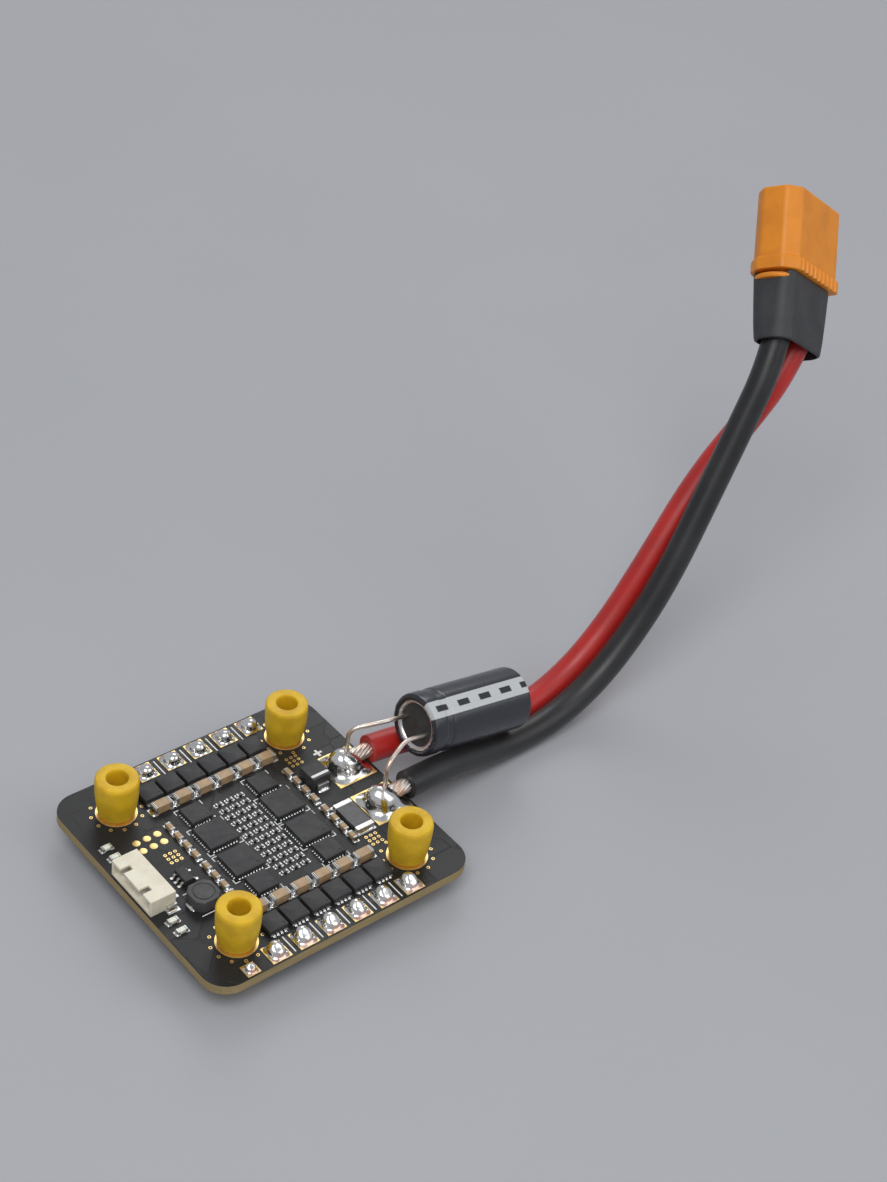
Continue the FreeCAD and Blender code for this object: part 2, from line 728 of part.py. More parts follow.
# ================================================================ the assembly
def build():
    parts = {}
    parts["main_board"] = [make_board()]
    for name, (x, y) in mount_places().items():
        parts["grommet_" + name] = [make_grommet(x, y)]

    parts["motor_pads"] = [pad(x, y, motor_pad_length, motor_pad_width)
                           for x, y in motor_pad_places()]
    parts["motor_solder_joints"] = [solder_dome(x, y, motor_joint_radius, motor_joint_height)
                                    for x, y in motor_pad_places()]
    x, y = auxiliary_pad_place()
    parts["auxiliary_pad"] = [pad(x, y, auxiliary_pad_size, auxiliary_pad_size)]
    parts["auxiliary_solder_joint"] = [solder_dome(x, y, auxiliary_joint_radius,
                                                   auxiliary_joint_height)]
    parts["battery_pads"] = [pad(x, y, battery_pad_length, battery_pad_width)
                             for x, y in battery_pad_places().values()]

    top = [power_transistor(x, y, board_top, True) for x, y in transistor_places()]
    bottom = [power_transistor(x, y, board_bottom, False) for x, y in transistor_places()]
    parts["top_transistors"] = [body for body, frame in top]
    parts["top_transistor_frames"] = [frame for body, frame in top]
    parts["bottom_transistors"] = [body for body, frame in bottom]
    parts["bottom_transistor_frames"] = [frame for body, frame in bottom]

    parts["motor_controllers"] = [chip(x, y, controller_size, controller_size, controller_height)
                                  for x, y in four_corners(controller_x, controller_y)]
    parts["gate_drivers"] = [chip(x, y, driver_size, driver_size, driver_height)
                             for x, y in four_corners(controller_x, driver_y)]
    parts["voltage_regulator"] = [chip(*regulator_place, regulator_width, regulator_length,
                                       regulator_height)]
    x = -board_length / 2 + amplifier_edge_gap + regulator_length / 2
    y = (battery_pad_spacing + battery_pad_width + regulator_width) / 2 + amplifier_pad_gap
    parts["current_sense_amplifier"] = [chip(x, y, regulator_length, regulator_width,
                                             regulator_height)]
    parts["regulator_inductor"] = [make_inductor()]
    body, tabs = make_surge_diode()
    parts["surge_diode"] = [body]
    parts["surge_diode_tabs"] = tabs

    groups = (
        ("large_capacitors", large_capacitor_places(), large_capacitor, False),
        ("small_capacitors", small_capacitor_places(), small_capacitor, True),
        ("small_resistors", resistor_places(), small_resistor, False),
        ("current_shunt", [(surge_diode_x, shunt_y)], shunt, True),
        ("status_lights", status_light_places(), status_light, False),
    )
    for name, places, sizes, along_y in groups:
        middles, ends = two_ended_group(places, board_top, sizes, along_y)
        parts[name] = middles
        parts[name + "_ends"] = ends

    shell, pins, tabs = make_socket()
    parts["signal_socket_shell"] = [shell]
    parts["signal_socket_contacts"] = pins
    parts["signal_socket_anchors"] = tabs

    strips, sink = make_heat_spreader()
    parts["thermal_pads"] = strips
    parts["heat_sink"] = [sink]

    can, sleeve, seal, winding = make_filter_capacitor()
    plug_pins = {"positive": make_pin(1), "negative": make_pin(-1)}
    for name, side, bends in (("positive", 1, positive_bends), ("negative", -1, negative_bends)):
        route = wire_route(name, side, bends)
        wire = make_battery_wire("battery_wire_" + name, route)
        board_core = core_on_board(route, wire)
        lead = make_capacitor_lead(-side, battery_pad_places()[name])
        seal = seal.cut(lead)
        parts["battery_wire_" + name] = [wire]
        parts["board_end_strands_" + name] = [board_core]
        parts["plug_end_strands_" + name] = [core_in_cup(side, route, wire)]
        parts["filter_capacitor_lead_" + name] = [lead]
        x, y = battery_pad_places()[name]
        parts["battery_joint_" + name] = [battery_joint(x, y, [board_core, lead])]
    parts["filter_capacitor_can"] = [can]
    parts["filter_capacitor_sleeve"] = [sleeve]
    parts["filter_capacitor_seal"] = [seal]
    parts["filter_capacitor_winding"] = [winding]

    plug_solids = {
        "plug_housing": make_housing(plug_pins),
        "plug_boot": make_boot(),
        "plug_pin_positive": plug_pins["positive"],
        "plug_pin_negative": plug_pins["negative"],
    }
    for name, solid in plug_solids.items():
        solid.Placement = plug_placement().multiply(solid.Placement)
        parts[name] = [solid]
    return parts


def main():
    os.makedirs("parts", exist_ok=True)
    for name, solids in build().items():
        shape = solids[0] if len(solids) == 1 else Part.makeCompound(solids)
        shape.exportStep("parts/" + name + ".step")
        print(name, "solids", len(shape.Solids), "volume", round(shape.Volume, 2),
              "valid", shape.isValid())


main()
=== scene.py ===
# %% [markdown]
# # Four-in-one electronic speed controller
# One square board drives four motors. It floats on four soft grommets, and a short, thick
# lead carries battery current to it through a two-pole plug. The measured solids are already
# there, in metres, so every piece below takes its place from them.

# %% Load the measured frame
import json
import math
import random
from functools import partialmethod

import bmesh
import bpy
from mathutils import Matrix, Quaternion, Vector, noise


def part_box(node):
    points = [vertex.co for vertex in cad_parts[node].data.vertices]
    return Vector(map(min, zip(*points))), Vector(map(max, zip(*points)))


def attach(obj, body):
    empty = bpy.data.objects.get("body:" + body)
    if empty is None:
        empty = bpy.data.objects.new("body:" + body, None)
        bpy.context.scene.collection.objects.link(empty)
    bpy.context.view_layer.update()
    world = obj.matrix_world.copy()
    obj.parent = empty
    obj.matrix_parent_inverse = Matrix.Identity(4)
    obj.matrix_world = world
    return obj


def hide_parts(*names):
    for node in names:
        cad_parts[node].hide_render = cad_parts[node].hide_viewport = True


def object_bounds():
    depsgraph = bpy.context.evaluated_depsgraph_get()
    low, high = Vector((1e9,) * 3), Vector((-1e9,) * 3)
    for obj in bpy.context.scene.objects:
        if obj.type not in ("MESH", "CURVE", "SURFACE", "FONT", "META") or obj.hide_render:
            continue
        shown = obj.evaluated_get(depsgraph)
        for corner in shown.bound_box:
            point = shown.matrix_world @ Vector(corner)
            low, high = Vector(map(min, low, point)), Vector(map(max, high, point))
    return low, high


MM = 0.001
scene = bpy.context.scene
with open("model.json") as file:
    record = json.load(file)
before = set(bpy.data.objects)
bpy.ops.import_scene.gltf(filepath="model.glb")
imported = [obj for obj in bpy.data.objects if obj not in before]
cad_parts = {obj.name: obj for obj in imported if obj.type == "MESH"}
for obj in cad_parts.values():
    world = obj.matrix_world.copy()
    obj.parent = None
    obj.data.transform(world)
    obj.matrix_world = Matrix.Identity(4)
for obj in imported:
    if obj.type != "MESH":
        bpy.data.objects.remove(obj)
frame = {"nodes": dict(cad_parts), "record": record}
nodes = frame["nodes"]
cad_low, cad_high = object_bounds()


def box_of(node):
    """The low and the high corner of a measured node, in millimetres."""
    return [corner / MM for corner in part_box(node)]


def circle(count):
    """Evenly spaced angles round a full turn."""
    return [2 * math.pi * i / count for i in range(count)]


def polar(radius, angle, height):
    return Vector((radius * math.cos(angle), radius * math.sin(angle), height))


def spread(count, pitch):
    """Evenly spaced places on both sides of a middle."""
    return [(i - (count - 1) / 2) * pitch for i in range(count)]


quadrants = [(sx, sy) for sx in (1, -1) for sy in (1, -1)]
print("solids loaded:", len(nodes), "box in mm:", [round(v / MM, 1) for v in cad_high - cad_low])

# %% [markdown]
# ## Camera, floor and light
# A product shot needs a still camera, a pale floor that catches the shadow and a few large
# soft lamps. The camera stands high at the front left corner of the board, a third of a
# metre away, and it is rolled a little. Its lens is long enough to fill the frame.

# %% Camera
camera_azimuth = 135.8
camera_elevation = 38.1
camera_distance = 0.336
camera_roll = math.radians(7.8)
camera_lens = 68
aim_from_centre = Vector((13.3, -6.8, -7.1)) * MM


def toward(azimuth, elevation):
    """Unit vector from the object to an onlooker; azimuth 0 stands on the -Y side."""
    a, e = math.radians(azimuth), math.radians(elevation)
    return Vector((math.sin(a) * math.cos(e), -math.cos(a) * math.cos(e), math.sin(e)))


def add_item(name, data):
    """A new object in the scene."""
    item = bpy.data.objects.new(name, data)
    scene.collection.objects.link(item)
    return item


def stand(item, azimuth, elevation, distance, roll=0.0):
    """Sets a camera or lamp round the aim, looking at it."""
    place = toward(azimuth, elevation)
    item.location = aim + place * distance
    item.rotation_mode = "QUATERNION"
    item.rotation_quaternion = (-place).to_track_quat("-Z", "Y") @ Quaternion((0, 0, 1), roll)


aim = (cad_low + cad_high) / 2 + aim_from_centre
camera = add_item("camera", bpy.data.cameras.new("camera"))
camera.data.lens = camera_lens
camera.data.clip_start = 0.01
stand(camera, camera_azimuth, camera_elevation, camera_distance, camera_roll)
scene.camera = camera
scene.view_settings.view_transform = "Standard"
print("camera at", [round(v / MM) for v in camera.location], "mm")

# %% Floor, world and lamps
floor_half = 3.0
floor_gap = 0.02 * MM
sky_color, sky_strength = (0.93, 0.96, 1.0, 1), 0.42


def soft_lamp(name, azimuth, elevation, distance, size, share):
    """A square lamp; share is how brightly it lights a white card that faces it."""
    lamp = bpy.data.lights.new(name, "AREA")
    lamp.size = size
    lamp.energy = share * (math.pi * distance) ** 2
    stand(add_item(name, lamp), azimuth, elevation, distance)


def lay_floor():
    """A wide sheet just under the lowest point."""
    mesh = bpy.data.meshes.new("floor")
    mesh.from_pydata([(x * floor_half, y * floor_half, cad_low.z - floor_gap)
                      for x, y in ((-1, -1), (1, -1), (1, 1), (-1, 1))], [], [(0, 1, 2, 3)])
    floor = add_item("floor", mesh)
    return floor


floor = lay_floor()
world = bpy.data.worlds.new("room")
scene.world = world
world.use_nodes = True
sky = world.node_tree.nodes["Background"].inputs
sky["Color"].default_value = sky_color
sky["Strength"].default_value = sky_strength
for name, azimuth, elevation, distance, size, share in (
        ("key_lamp", 128, 58, 0.9, 0.5, 0.50), ("fill_lamp", 215, 35, 1.1, 0.8, 0.20),
        ("rim_lamp", -40, 40, 1.0, 0.5, 0.22)):
    soft_lamp(name, azimuth, elevation, distance, size, share)

# %% [markdown]
# ## Shader maths
# Each finish is a small recipe: noise for grain and wear, masks for what lies where. Wiring
# nodes by hand hides the idea, so a socket is wrapped in a class whose + - * / add the Math
# nodes, and one method adds any other node.


# %% Sockets that do arithmetic
class Wave:
    """A value that varies over a surface; sums and products of it add Math nodes."""

    def __init__(self, recipe, socket):
        self.recipe = recipe
        self.socket = socket

    def math(self, operation, other=0.0):
        return self.recipe.add("ShaderNodeMath", {"operation": operation}, {0: self, 1: other})

    __add__ = __radd__ = partialmethod(math, "ADD")
    __mul__ = __rmul__ = partialmethod(math, "MULTIPLY")
    __sub__ = partialmethod(math, "SUBTRACT")
    __truediv__ = partialmethod(math, "DIVIDE")

    def __rsub__(self, other):
        return (self - other) * -1.0

    def size(self):
        return self.math("ABSOLUTE")

    def lines(self, pitch, share):
        """1 on evenly spaced lines that fill a share of each pitch, else 0."""
        off = ((self / pitch).math("FRACT") - 0.5).size()
        return off.step(share / 2 + 0.04, share / 2 - 0.02)

    def step(self, start, stop):
        """0 below start, 1 above stop, and a smooth rise between; start may be the higher."""
        settings = {"interpolation_type": "SMOOTHSTEP"}
        if start > stop:
            return 1 - self.step(stop, start)
        return self.recipe.add("ShaderNodeMapRange", settings, {0: self, 1: start, 2: stop})


# %% A recipe for one finish
class Recipe:
    """One material: its nodes, and the shorthand that its finish is written in."""

    def __init__(self, name):
        self.material = bpy.data.materials.new(name)
        self.material.use_nodes = True
        self.tree = self.material.node_tree
        self.tree.nodes.clear()
        self.place = self.add("ShaderNodeTexCoord", output="Object")

    def add(self, kind, settings=None, inputs=None, output=0):
        """Adds a node: its settings first, then the values or links of its sockets."""
        node = self.tree.nodes.new(kind)
        for key, value in (settings or {}).items():
            if key == "stops":
                ramp = node.color_ramp.elements
                while len(ramp) < len(value):
                    ramp.new(0.5)
                for stop, (position, color) in zip(ramp, value):
                    stop.position = position
                    stop.color = (*color, 1)
            else:
                setattr(node, key, value)
        for key, value in (inputs or {}).items():
            if isinstance(value, Wave):
                self.tree.links.new(value.socket, node.inputs[key])
            elif isinstance(value, tuple) and len(node.inputs[key].default_value) == 4:
                node.inputs[key].default_value = (*value, 1)
            else:
                node.inputs[key].default_value = value
        return Wave(self, node.outputs[output])

    def axis(self, index):
        """The place along X, Y or Z, in millimetres."""
        return self.add("ShaderNodeSeparateXYZ", None, {0: self.place}, index) / MM

    def grain(self, size, detail=3.0, place=None):
        """Cloudy noise from 0 to 1 whose blotches are about size millimetres wide."""
        inputs = {"Vector": place or self.place, "Scale": 1 / (size * MM), "Detail": detail}
        return self.add("ShaderNodeTexNoise", None, inputs)

    def stretched(self, factors):
        """The place with each axis scaled, for streaks and layers."""
        return self.add("ShaderNodeVectorMath", {"operation": "MULTIPLY"},
                        {0: self.place, 1: factors})

    def blend(self, share, first, second):
        """A colour between two colours."""
        return self.add("ShaderNodeMix", {"data_type": "RGBA"}, {0: share, 6: first, 7: second}, 2)

    def relief(self, height, depth, under=None):
        """A bumped normal; height runs from 0 to 1 and depth is in millimetres."""
        inputs = {"Height": height, "Distance": depth * MM, "Strength": 1.0}
        if under:
            inputs["Normal"] = under
        return self.add("ShaderNodeBump", None, inputs)

    def finish(self, **sockets):
        """Feeds the surface shader; words in a name are joined with underscores."""
        inputs = {name.replace("_", " ").title().replace("Ior", "IOR"): value
                  for name, value in sockets.items()}
        surface = self.add("ShaderNodeBsdfPrincipled", None, inputs)
        output = self.tree.nodes.new("ShaderNodeOutputMaterial")
        self.tree.links.new(surface.socket, output.inputs["Surface"])
        return self.material


finishes = {}

# %% [markdown]
# ## The circuit board
# The board is woven glass in tan resin, with copper sheets pressed in. Black lacquer covers
# both faces but not the sawn edge. Copper under the lacquer lifts it by a few hundredths of a
# millimetre, and that relief is what makes a black board look like a board.

# %% Board finish
board_low, board_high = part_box("main_board")
board_bottom, board_top = board_low.z / MM, board_high.z / MM
pour_size, track_pitch = 5.5, 0.45
flux_y, flux_x = 20.0, 15.0


def board_finish():
    """Black lacquer over copper pours and tracks, with tan layers on the sawn edge."""
    r = Recipe("solder_mask")
    x, y, z = r.axis(0), r.axis(1), r.axis(2)
    facing = r.add("ShaderNodeSeparateXYZ", None, {0: r.add("ShaderNodeNewGeometry",
                                                           output="Normal")}, 2)
    flat = facing.size().step(0.5, 0.7)
    cells = {"voronoi_dimensions": "2D", "distance": "MANHATTAN", "feature": "F1"}
    pour = {"Vector": r.place, "Scale": 1 / (pour_size * MM)}
    nearest = r.add("ShaderNodeTexVoronoi", cells, pour)
    second = r.add("ShaderNodeTexVoronoi", {**cells, "feature": "F2"}, pour)
    pick = r.add("ShaderNodeTexVoronoi", cells, pour, 1)
    copper = (second - nearest).step(0.02, 0.05)
    for place, low, high in ((x, 0.0, 0.38), (y, 0.38, 0.46), (x + y, 0.46, 0.54)):
        chosen = pick.step(low, low + 0.004) * pick.step(high, high - 0.004)
        copper = copper * (1 - chosen * (1 - place.lines(track_pitch, 0.55)))
    fibre = r.grain(1.0, 4.0, r.stretched((0.25, 0.25, 7.0)))
    layer = (z - board_bottom).lines((board_top - board_bottom) / 6, 0.12)
    mask = r.blend(copper, (0.0075, 0.008, 0.009), (0.0135, 0.0142, 0.016))
    mask = r.blend(r.grain(9.0) * 0.25, mask, (0.018, 0.0175, 0.016))
    core = r.blend(fibre, (0.20, 0.145, 0.06), (0.42, 0.33, 0.17))
    core = r.blend(layer * 0.45, core, (0.30, 0.13, 0.05))
    color = r.blend(flat, core, mask)
    flux = (y.size() - flux_y).size().step(2.4, 1.2) * r.grain(2.2).step(0.4, 0.6)
    flux = flux * x.size().step(flux_x, flux_x - 2.0)
    rough = 0.37 + r.grain(0.35) * 0.12 - flux * 0.12
    rough = rough + (1 - flat) * 0.3
    weave = r.add("ShaderNodeTexWave", {"bands_direction": "X"},
                  {"Vector": r.place, "Scale": 0.55 / MM, "Distortion": 0.6})
    normal = r.relief(copper * flat, 0.035)
    normal = r.relief(weave * 0.25 + r.grain(0.22, 2.0) * 0.3, 0.006, normal)
    return r.finish(base_color=color, roughness=rough, normal=normal, specular_ior_level=0.38)


finishes["solder_mask"] = board_finish()
print("finish: solder_mask,", len(finishes["solder_mask"].node_tree.nodes), "nodes")

# %% [markdown]
# ## Plastics, rubbers and ceramics
# Moulded parts share one idea: a base colour that drifts a little, a fine grain that scatters
# the highlight, and dust or rubbed spots that change the roughness. One function makes them
# all, and each real material sets its own numbers.


# %% Moulded finishes
def moulded(name, color, drift, rough, grain, depth, patch=6.0, fleck=0.0, **fixed):
    """A moulded or sintered surface; drift is the colour it wanders towards."""
    r = Recipe(name)
    tone = r.blend(r.grain(patch, 4.0).step(0.35, 0.7), color, drift)
    speck = r.grain(grain, 2.0)
    if fleck:
        tone = r.blend(speck.step(0.62, 0.72) * fleck, tone, (0.75, 0.73, 0.70))
    roughness = rough + (r.grain(patch * 0.4, 3.0) - 0.5) * 0.22
    normal = r.relief(speck, depth)
    finishes[name] = r.finish(base_color=tone, roughness=roughness, normal=normal, **fixed)


moulded("rubber_yellow", (0.74, 0.47, 0.012), (0.60, 0.36, 0.010), 0.52, 0.12, 0.008, 3.0,
        subsurface_weight=0.18, subsurface_scale=1.2 * MM)
moulded("mould_compound", (0.020, 0.020, 0.022), (0.030, 0.030, 0.031), 0.52, 0.07, 0.006,
        2.5, fleck=0.05)
moulded("ferrite", (0.060, 0.060, 0.063), (0.085, 0.084, 0.085), 0.60, 0.10, 0.012, 1.5,
        fleck=0.10)
moulded("capacitor_ceramic", (0.42, 0.28, 0.15), (0.34, 0.22, 0.12), 0.38, 0.08, 0.003, 1.2)
moulded("resistor_body", (0.026, 0.026, 0.030), (0.05, 0.05, 0.055), 0.30, 0.06, 0.002, 0.8)
moulded("light_lens", (0.86, 0.86, 0.76), (0.78, 0.78, 0.62), 0.22, 0.3, 0.002, 0.5,
        subsurface_weight=0.3, subsurface_scale=0.4 * MM)
moulded("socket_nylon", (0.80, 0.75, 0.62), (0.72, 0.66, 0.52), 0.48, 0.09, 0.004, 2.0,
        subsurface_weight=0.12, subsurface_scale=0.6 * MM)
moulded("thermal_silicone", (0.42, 0.50, 0.58), (0.34, 0.42, 0.50), 0.72, 0.14, 0.02, 1.5)
moulded("seal_rubber", (0.026, 0.026, 0.027), (0.045, 0.044, 0.043), 0.62, 0.10, 0.008, 1.5)
moulded("winding_paper", (0.72, 0.66, 0.54), (0.60, 0.54, 0.43), 0.75, 0.15, 0.01, 1.5)
moulded("wire_red", (0.47, 0.012, 0.008), (0.37, 0.010, 0.008), 0.42, 0.16, 0.006, 8.0,
        sheen_weight=0.15)
moulded("wire_black", (0.0105, 0.0105, 0.0115), (0.018, 0.018, 0.019), 0.40, 0.16, 0.006,
        8.0, sheen_weight=0.08)
moulded("plug_nylon", (0.80, 0.27, 0.012), (0.70, 0.225, 0.010), 0.44, 0.11, 0.005, 5.0,
        subsurface_weight=0.08, subsurface_scale=0.8 * MM)
moulded("boot_plastic", (0.030, 0.031, 0.034), (0.042, 0.042, 0.045), 0.56, 0.13, 0.010, 4.0,
        fleck=0.03)
print("moulded finishes:", len(finishes) - 1)

# %% [markdown]
# ## Metals
# A metal has almost no colour of its own light: it mirrors the room through a film of tiny
# scratches, so the recipe varies roughness and relief more than colour. Solder is the
# brightest; thin solder over a copper lead turns pink.


# %% Metal finishes
tarnish_size = 2.0


def metal(name, color, drift, rough, grain, depth, streak=(1, 1, 1)):
    """A plated, drawn or cast metal; streak stretches its grain along an axis."""
    r = Recipe(name)
    tone = r.blend(r.grain(tarnish_size, 4.0).step(0.4, 0.7), color, drift)
    scratch = r.grain(grain, 3.0, r.stretched(streak))
    roughness = rough + scratch * 0.16 + (r.grain(tarnish_size / 2) - 0.5) * 0.12
    finishes[name] = r.finish(base_color=tone, roughness=roughness, metallic=1.0,
                              normal=r.relief(scratch, depth))


metal("gold_plate", (0.88, 0.66, 0.29), (0.80, 0.57, 0.24), 0.30, 0.2, 0.004)
metal("tin_plate", (0.72, 0.71, 0.69), (0.60, 0.59, 0.57), 0.34, 0.12, 0.004)
metal("sink_aluminium", (0.060, 0.060, 0.065), (0.085, 0.085, 0.09), 0.38, 0.12, 0.008,
      (0.1, 1.0, 1.0))
metal("can_aluminium", (0.80, 0.80, 0.81), (0.72, 0.72, 0.73), 0.24, 0.1, 0.004)
metal("tinned_copper", (0.78, 0.72, 0.66), (0.76, 0.50, 0.36), 0.26, 0.15, 0.006)
metal("pin_gold", (0.90, 0.67, 0.28), (0.82, 0.57, 0.22), 0.16, 0.15, 0.002)


lead_start, lead_full = 20.75, 21.35
lead_top, lead_bottom = 7.1, 6.5


def solder_finish():
    """Bright solder, pink at the outer foot of an edge joint, where a lead lay."""
    r = Recipe("solder")
    edge = r.axis(1).size()
    lead = edge.step(lead_start, lead_full) * r.axis(2).step(lead_top, lead_bottom)
    warm = r.blend(r.grain(0.7).step(0.4, 0.7), (0.84, 0.60, 0.50), (0.78, 0.44, 0.33))
    bright = r.blend(r.grain(1.1).step(0.45, 0.7), (0.86, 0.86, 0.86), (0.74, 0.73, 0.71))
    color = r.blend(lead, bright, warm)
    crystal = r.grain(0.35, 3.0)
    rough = 0.13 + r.grain(0.9, 2.0).step(0.45, 0.75) * 0.18 + lead * 0.10
    return r.finish(base_color=color, roughness=rough, metallic=1.0,
                    normal=r.relief(crystal, 0.012))


can_front = Vector((-28.0, 0.0, 13.3))
can_tilt = math.radians(10.6)
stripe_turn, stripe_half, bar_pitch, bar_half = math.radians(62), 0.30, 4.4, 0.11


def sleeve_finish():
    """Dark shrunk film with a pale stripe of plain bars over the negative lead."""
    r = Recipe("sleeve_film")
    tone = r.blend(r.grain(4.0), (0.014, 0.016, 0.024), (0.020, 0.022, 0.032))
    x, z = r.axis(0) - can_front.x, r.axis(2) - can_front.z
    ahead = x * math.cos(can_tilt) + z * math.sin(can_tilt)
    above = z * math.cos(can_tilt) - x * math.sin(can_tilt)
    turn = above.math("ARCTAN2", r.axis(1)) - stripe_turn
    stripe = turn.size().step(stripe_half, stripe_half - 0.02)
    bar = ahead.lines(bar_pitch, 0.5)
    tone = r.blend(stripe, tone, (0.50, 0.52, 0.53))
    bar = stripe * bar * turn.size().step(bar_half, bar_half - 0.02)
    tone = r.blend(bar, tone, (0.02, 0.022, 0.03))
    wrinkle = r.grain(2.2, 3.0, r.stretched((0.5, 1.0, 1.0)))
    return r.finish(base_color=tone, roughness=0.22 + r.grain(0.8) * 0.14,
                    normal=r.relief(wrinkle, 0.05), coat_weight=0.3, coat_roughness=0.12)


finishes["solder"] = solder_finish()
finishes["sleeve_film"] = sleeve_finish()
print("all finishes:", len(finishes))

# %% [markdown]
# ## Dressing the measured solids
# A solid whose shape is already right stays. It gets its finish, and a narrow bevel, because
# no real edge is knife sharp and the rounded edge is what catches the light. A modifier does
# that without touching the solid's own mesh.

# %% Finish every solid
edge_round = 0.06 * MM


def dress(item, finish):
    """Gives a new piece its finish and its body."""
    item.data.materials.clear()
    item.data.materials.append(finishes[finish])
    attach(item, "root")
    return item


for item in nodes.values():
    for slot in item.material_slots:
        slot.material = finishes[slot.material.name.split(".")[0]]
    weld = item.modifiers.new("weld", "WELD")
    weld.merge_threshold = 0.0005 * MM
    bevel = item.modifiers.new("bevel", "BEVEL")
    bevel.width = edge_round
    bevel.segments = 2
    bevel.limit_method = "ANGLE"
    bevel.angle_limit = math.radians(40)
    item.modifiers.new("shading", "WEIGHTED_NORMAL")
print("dressed solids:", len(nodes))

# %% [markdown]
# ## The battery lead
# Two soft silicone wires, 4.5 mm thick, leave the rear edge flat, touch down and climb to the
# plug with a quarter turn. A curve with a round bevel is a wire already: its control points
# are the lead's route, and the order-three spline rounds them as stiff wire does.

# %% Battery wires
wire_diameter = 4.5 * MM
routes = {
    "positive": [
        (-23.3, -4.7, 7.1), (-31.0, -4.2, 6.6), (-38.5, -3.2, 4.1), (-46.0, -2.5, 2.3),
        (-55.0, -2.6, 2.3), (-64.2, -3.0, 5.6), (-71.8, -3.4, 11.9), (-78.8, -3.8, 21.1),
        (-89.1, -5.4, 33.2), (-97.2, -5.0, 41.6), (-103.6, -4.7, 49.0),
        (-108.5, -6.6, 54.3)],
    "negative": [
        (-23.3, 4.7, 7.1), (-31.0, 4.2, 6.6), (-38.5, 3.2, 4.1), (-46.0, 2.5, 2.3),
        (-55.0, 2.2, 2.3), (-64.2, 1.8, 5.6), (-71.8, 1.4, 12.1), (-78.8, 1.0, 21.7),
        (-87.6, -1.2, 34.9), (-93.8, -2.7, 44.5), (-98.8, -4.0, 52.4),
        (-102.6, -6.6, 58.5)],
}
wire_color = {"positive": "wire_red", "negative": "wire_black"}
for pole, route in routes.items():
    curve = bpy.data.curves.new("battery_lead_" + pole, "CURVE")
    curve.dimensions = "3D"
    spline = curve.splines.new("NURBS")
    spline.points.add(len(route) - 1)
    for point, place in zip(spline.points, route):
        point.co = (*(Vector(place) * MM), 1)
    spline.order_u = 3
    spline.use_endpoint_u = True
    spline.resolution_u = 10
    curve.bevel_depth = wire_diameter / 2
    curve.bevel_resolution = 8
    curve.use_fill_caps = True
    lead = dress(add_item(curve.name, curve), wire_color[pole])
    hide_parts("battery_wire_" + pole)
    print(pole, "lead: exit", route[0], "points", len(route))

# %% [markdown]
# ## The floor's finish
# Plain grey card: two close tones in large soft patches, so that the shadow is what shows.

# %% Floor finish
r = Recipe("floor_card")
floor.data.materials.append(r.finish(
    base_color=r.blend(r.grain(60.0), (0.375, 0.382, 0.405), (0.40, 0.405, 0.43)),
    roughness=0.75, normal=r.relief(r.grain(0.6), 0.01)))
print("floor laid")

# %% [markdown]
# ## Skins
# Most small parts here are skins: a closed outline that is repeated, shifted and resized from
# bottom to top, with faces between one outline and the next. It gives rounded rims and soft
# corners exactly where they are wanted, with far fewer faces than a subdivided box.

# %% Skins over rings of points
sharp_angle = math.radians(38)


def skin(rings, ring_closed=False):
    """Points and faces over rings of equally many points; ring_closed joins last to first."""
    count = len(rings[0])
    points = [point for ring in rings for point in ring]
    faces = []
    for low in range(len(rings) - (0 if ring_closed else 1)):
        high = (low + 1) % len(rings)
        for i in range(count):
            j = (i + 1) % count
            faces.append((low * count + i, low * count + j, high * count + j, high * count + i))
    if not ring_closed:
        faces.append(tuple(range(count)))
        faces.append(tuple(range(len(points) - count, len(points))))
    return points, faces


class Tray:
    """Collects many small skins, so that equal little parts become one piece."""

    def __init__(self):
        self.points = []
        self.faces = []

    def add(self, points, faces):
        start = len(self.points)
        self.points += points
        self.faces += [tuple(start + i for i in face) for face in faces]
        return self

    def piece(self, name, finish, *stands_for):
        """Makes the mesh, in millimetres until here, and dresses it."""
        mesh = bpy.data.meshes.new(name)
        mesh.from_pydata([Vector(point) * MM for point in self.points], [], self.faces)
        shape = bmesh.new()
        shape.from_mesh(mesh)
        bmesh.ops.recalc_face_normals(shape, faces=shape.faces)
        shape.to_mesh(mesh)
        shape.free()
        mesh.polygons.foreach_set("use_smooth", [True] * len(mesh.polygons))
        mesh.set_sharp_from_angle(angle=sharp_angle)
        item = add_item(name, mesh)
        item.modifiers.new("shading", "WEIGHTED_NORMAL").keep_sharp = True
        dress(item, finish)
        if stands_for:
            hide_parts(*stands_for)
        print(name, "faces", len(mesh.polygons))
        return item


def divided(outline, parts_of):
    """An outline with more points; parts_of says into how many parts a side is cut."""
    dense = []
    for here, after in zip(outline, outline[1:] + outline[:1]):
        parts = parts_of(after - here)
        dense += [here.lerp(after, i / parts) for i in range(parts)]
    return dense


def rounded_outline(corners, radii, steps, spacing=None):
    """A convex outline, counter-clockwise, with rounded corners and points along its sides."""
    outline = []
    count = len(corners)
    if not isinstance(radii, tuple):
        radii = (radii,) * count
    for index, radius in enumerate(radii):
        here = Vector(corners[index])
        to_last = (Vector(corners[index - 1]) - here).normalized()
        to_next = (Vector(corners[(index + 1) % count]) - here).normalized()
        half = to_last.angle(to_next) / 2
        center = here + (to_last + to_next).normalized() * (radius / math.sin(half))
        first = here + to_last * (radius / math.tan(half)) - center
        turn = math.pi - 2 * half
        for step in range(steps + 1):
            a = turn * step / steps
            outline.append(center + Vector((first.x * math.cos(a) - first.y * math.sin(a),
                                            first.x * math.sin(a) + first.y * math.cos(a))))
    if spacing:
        outline = divided(outline, lambda run: max(1, round(run.length / spacing)))
    return outline


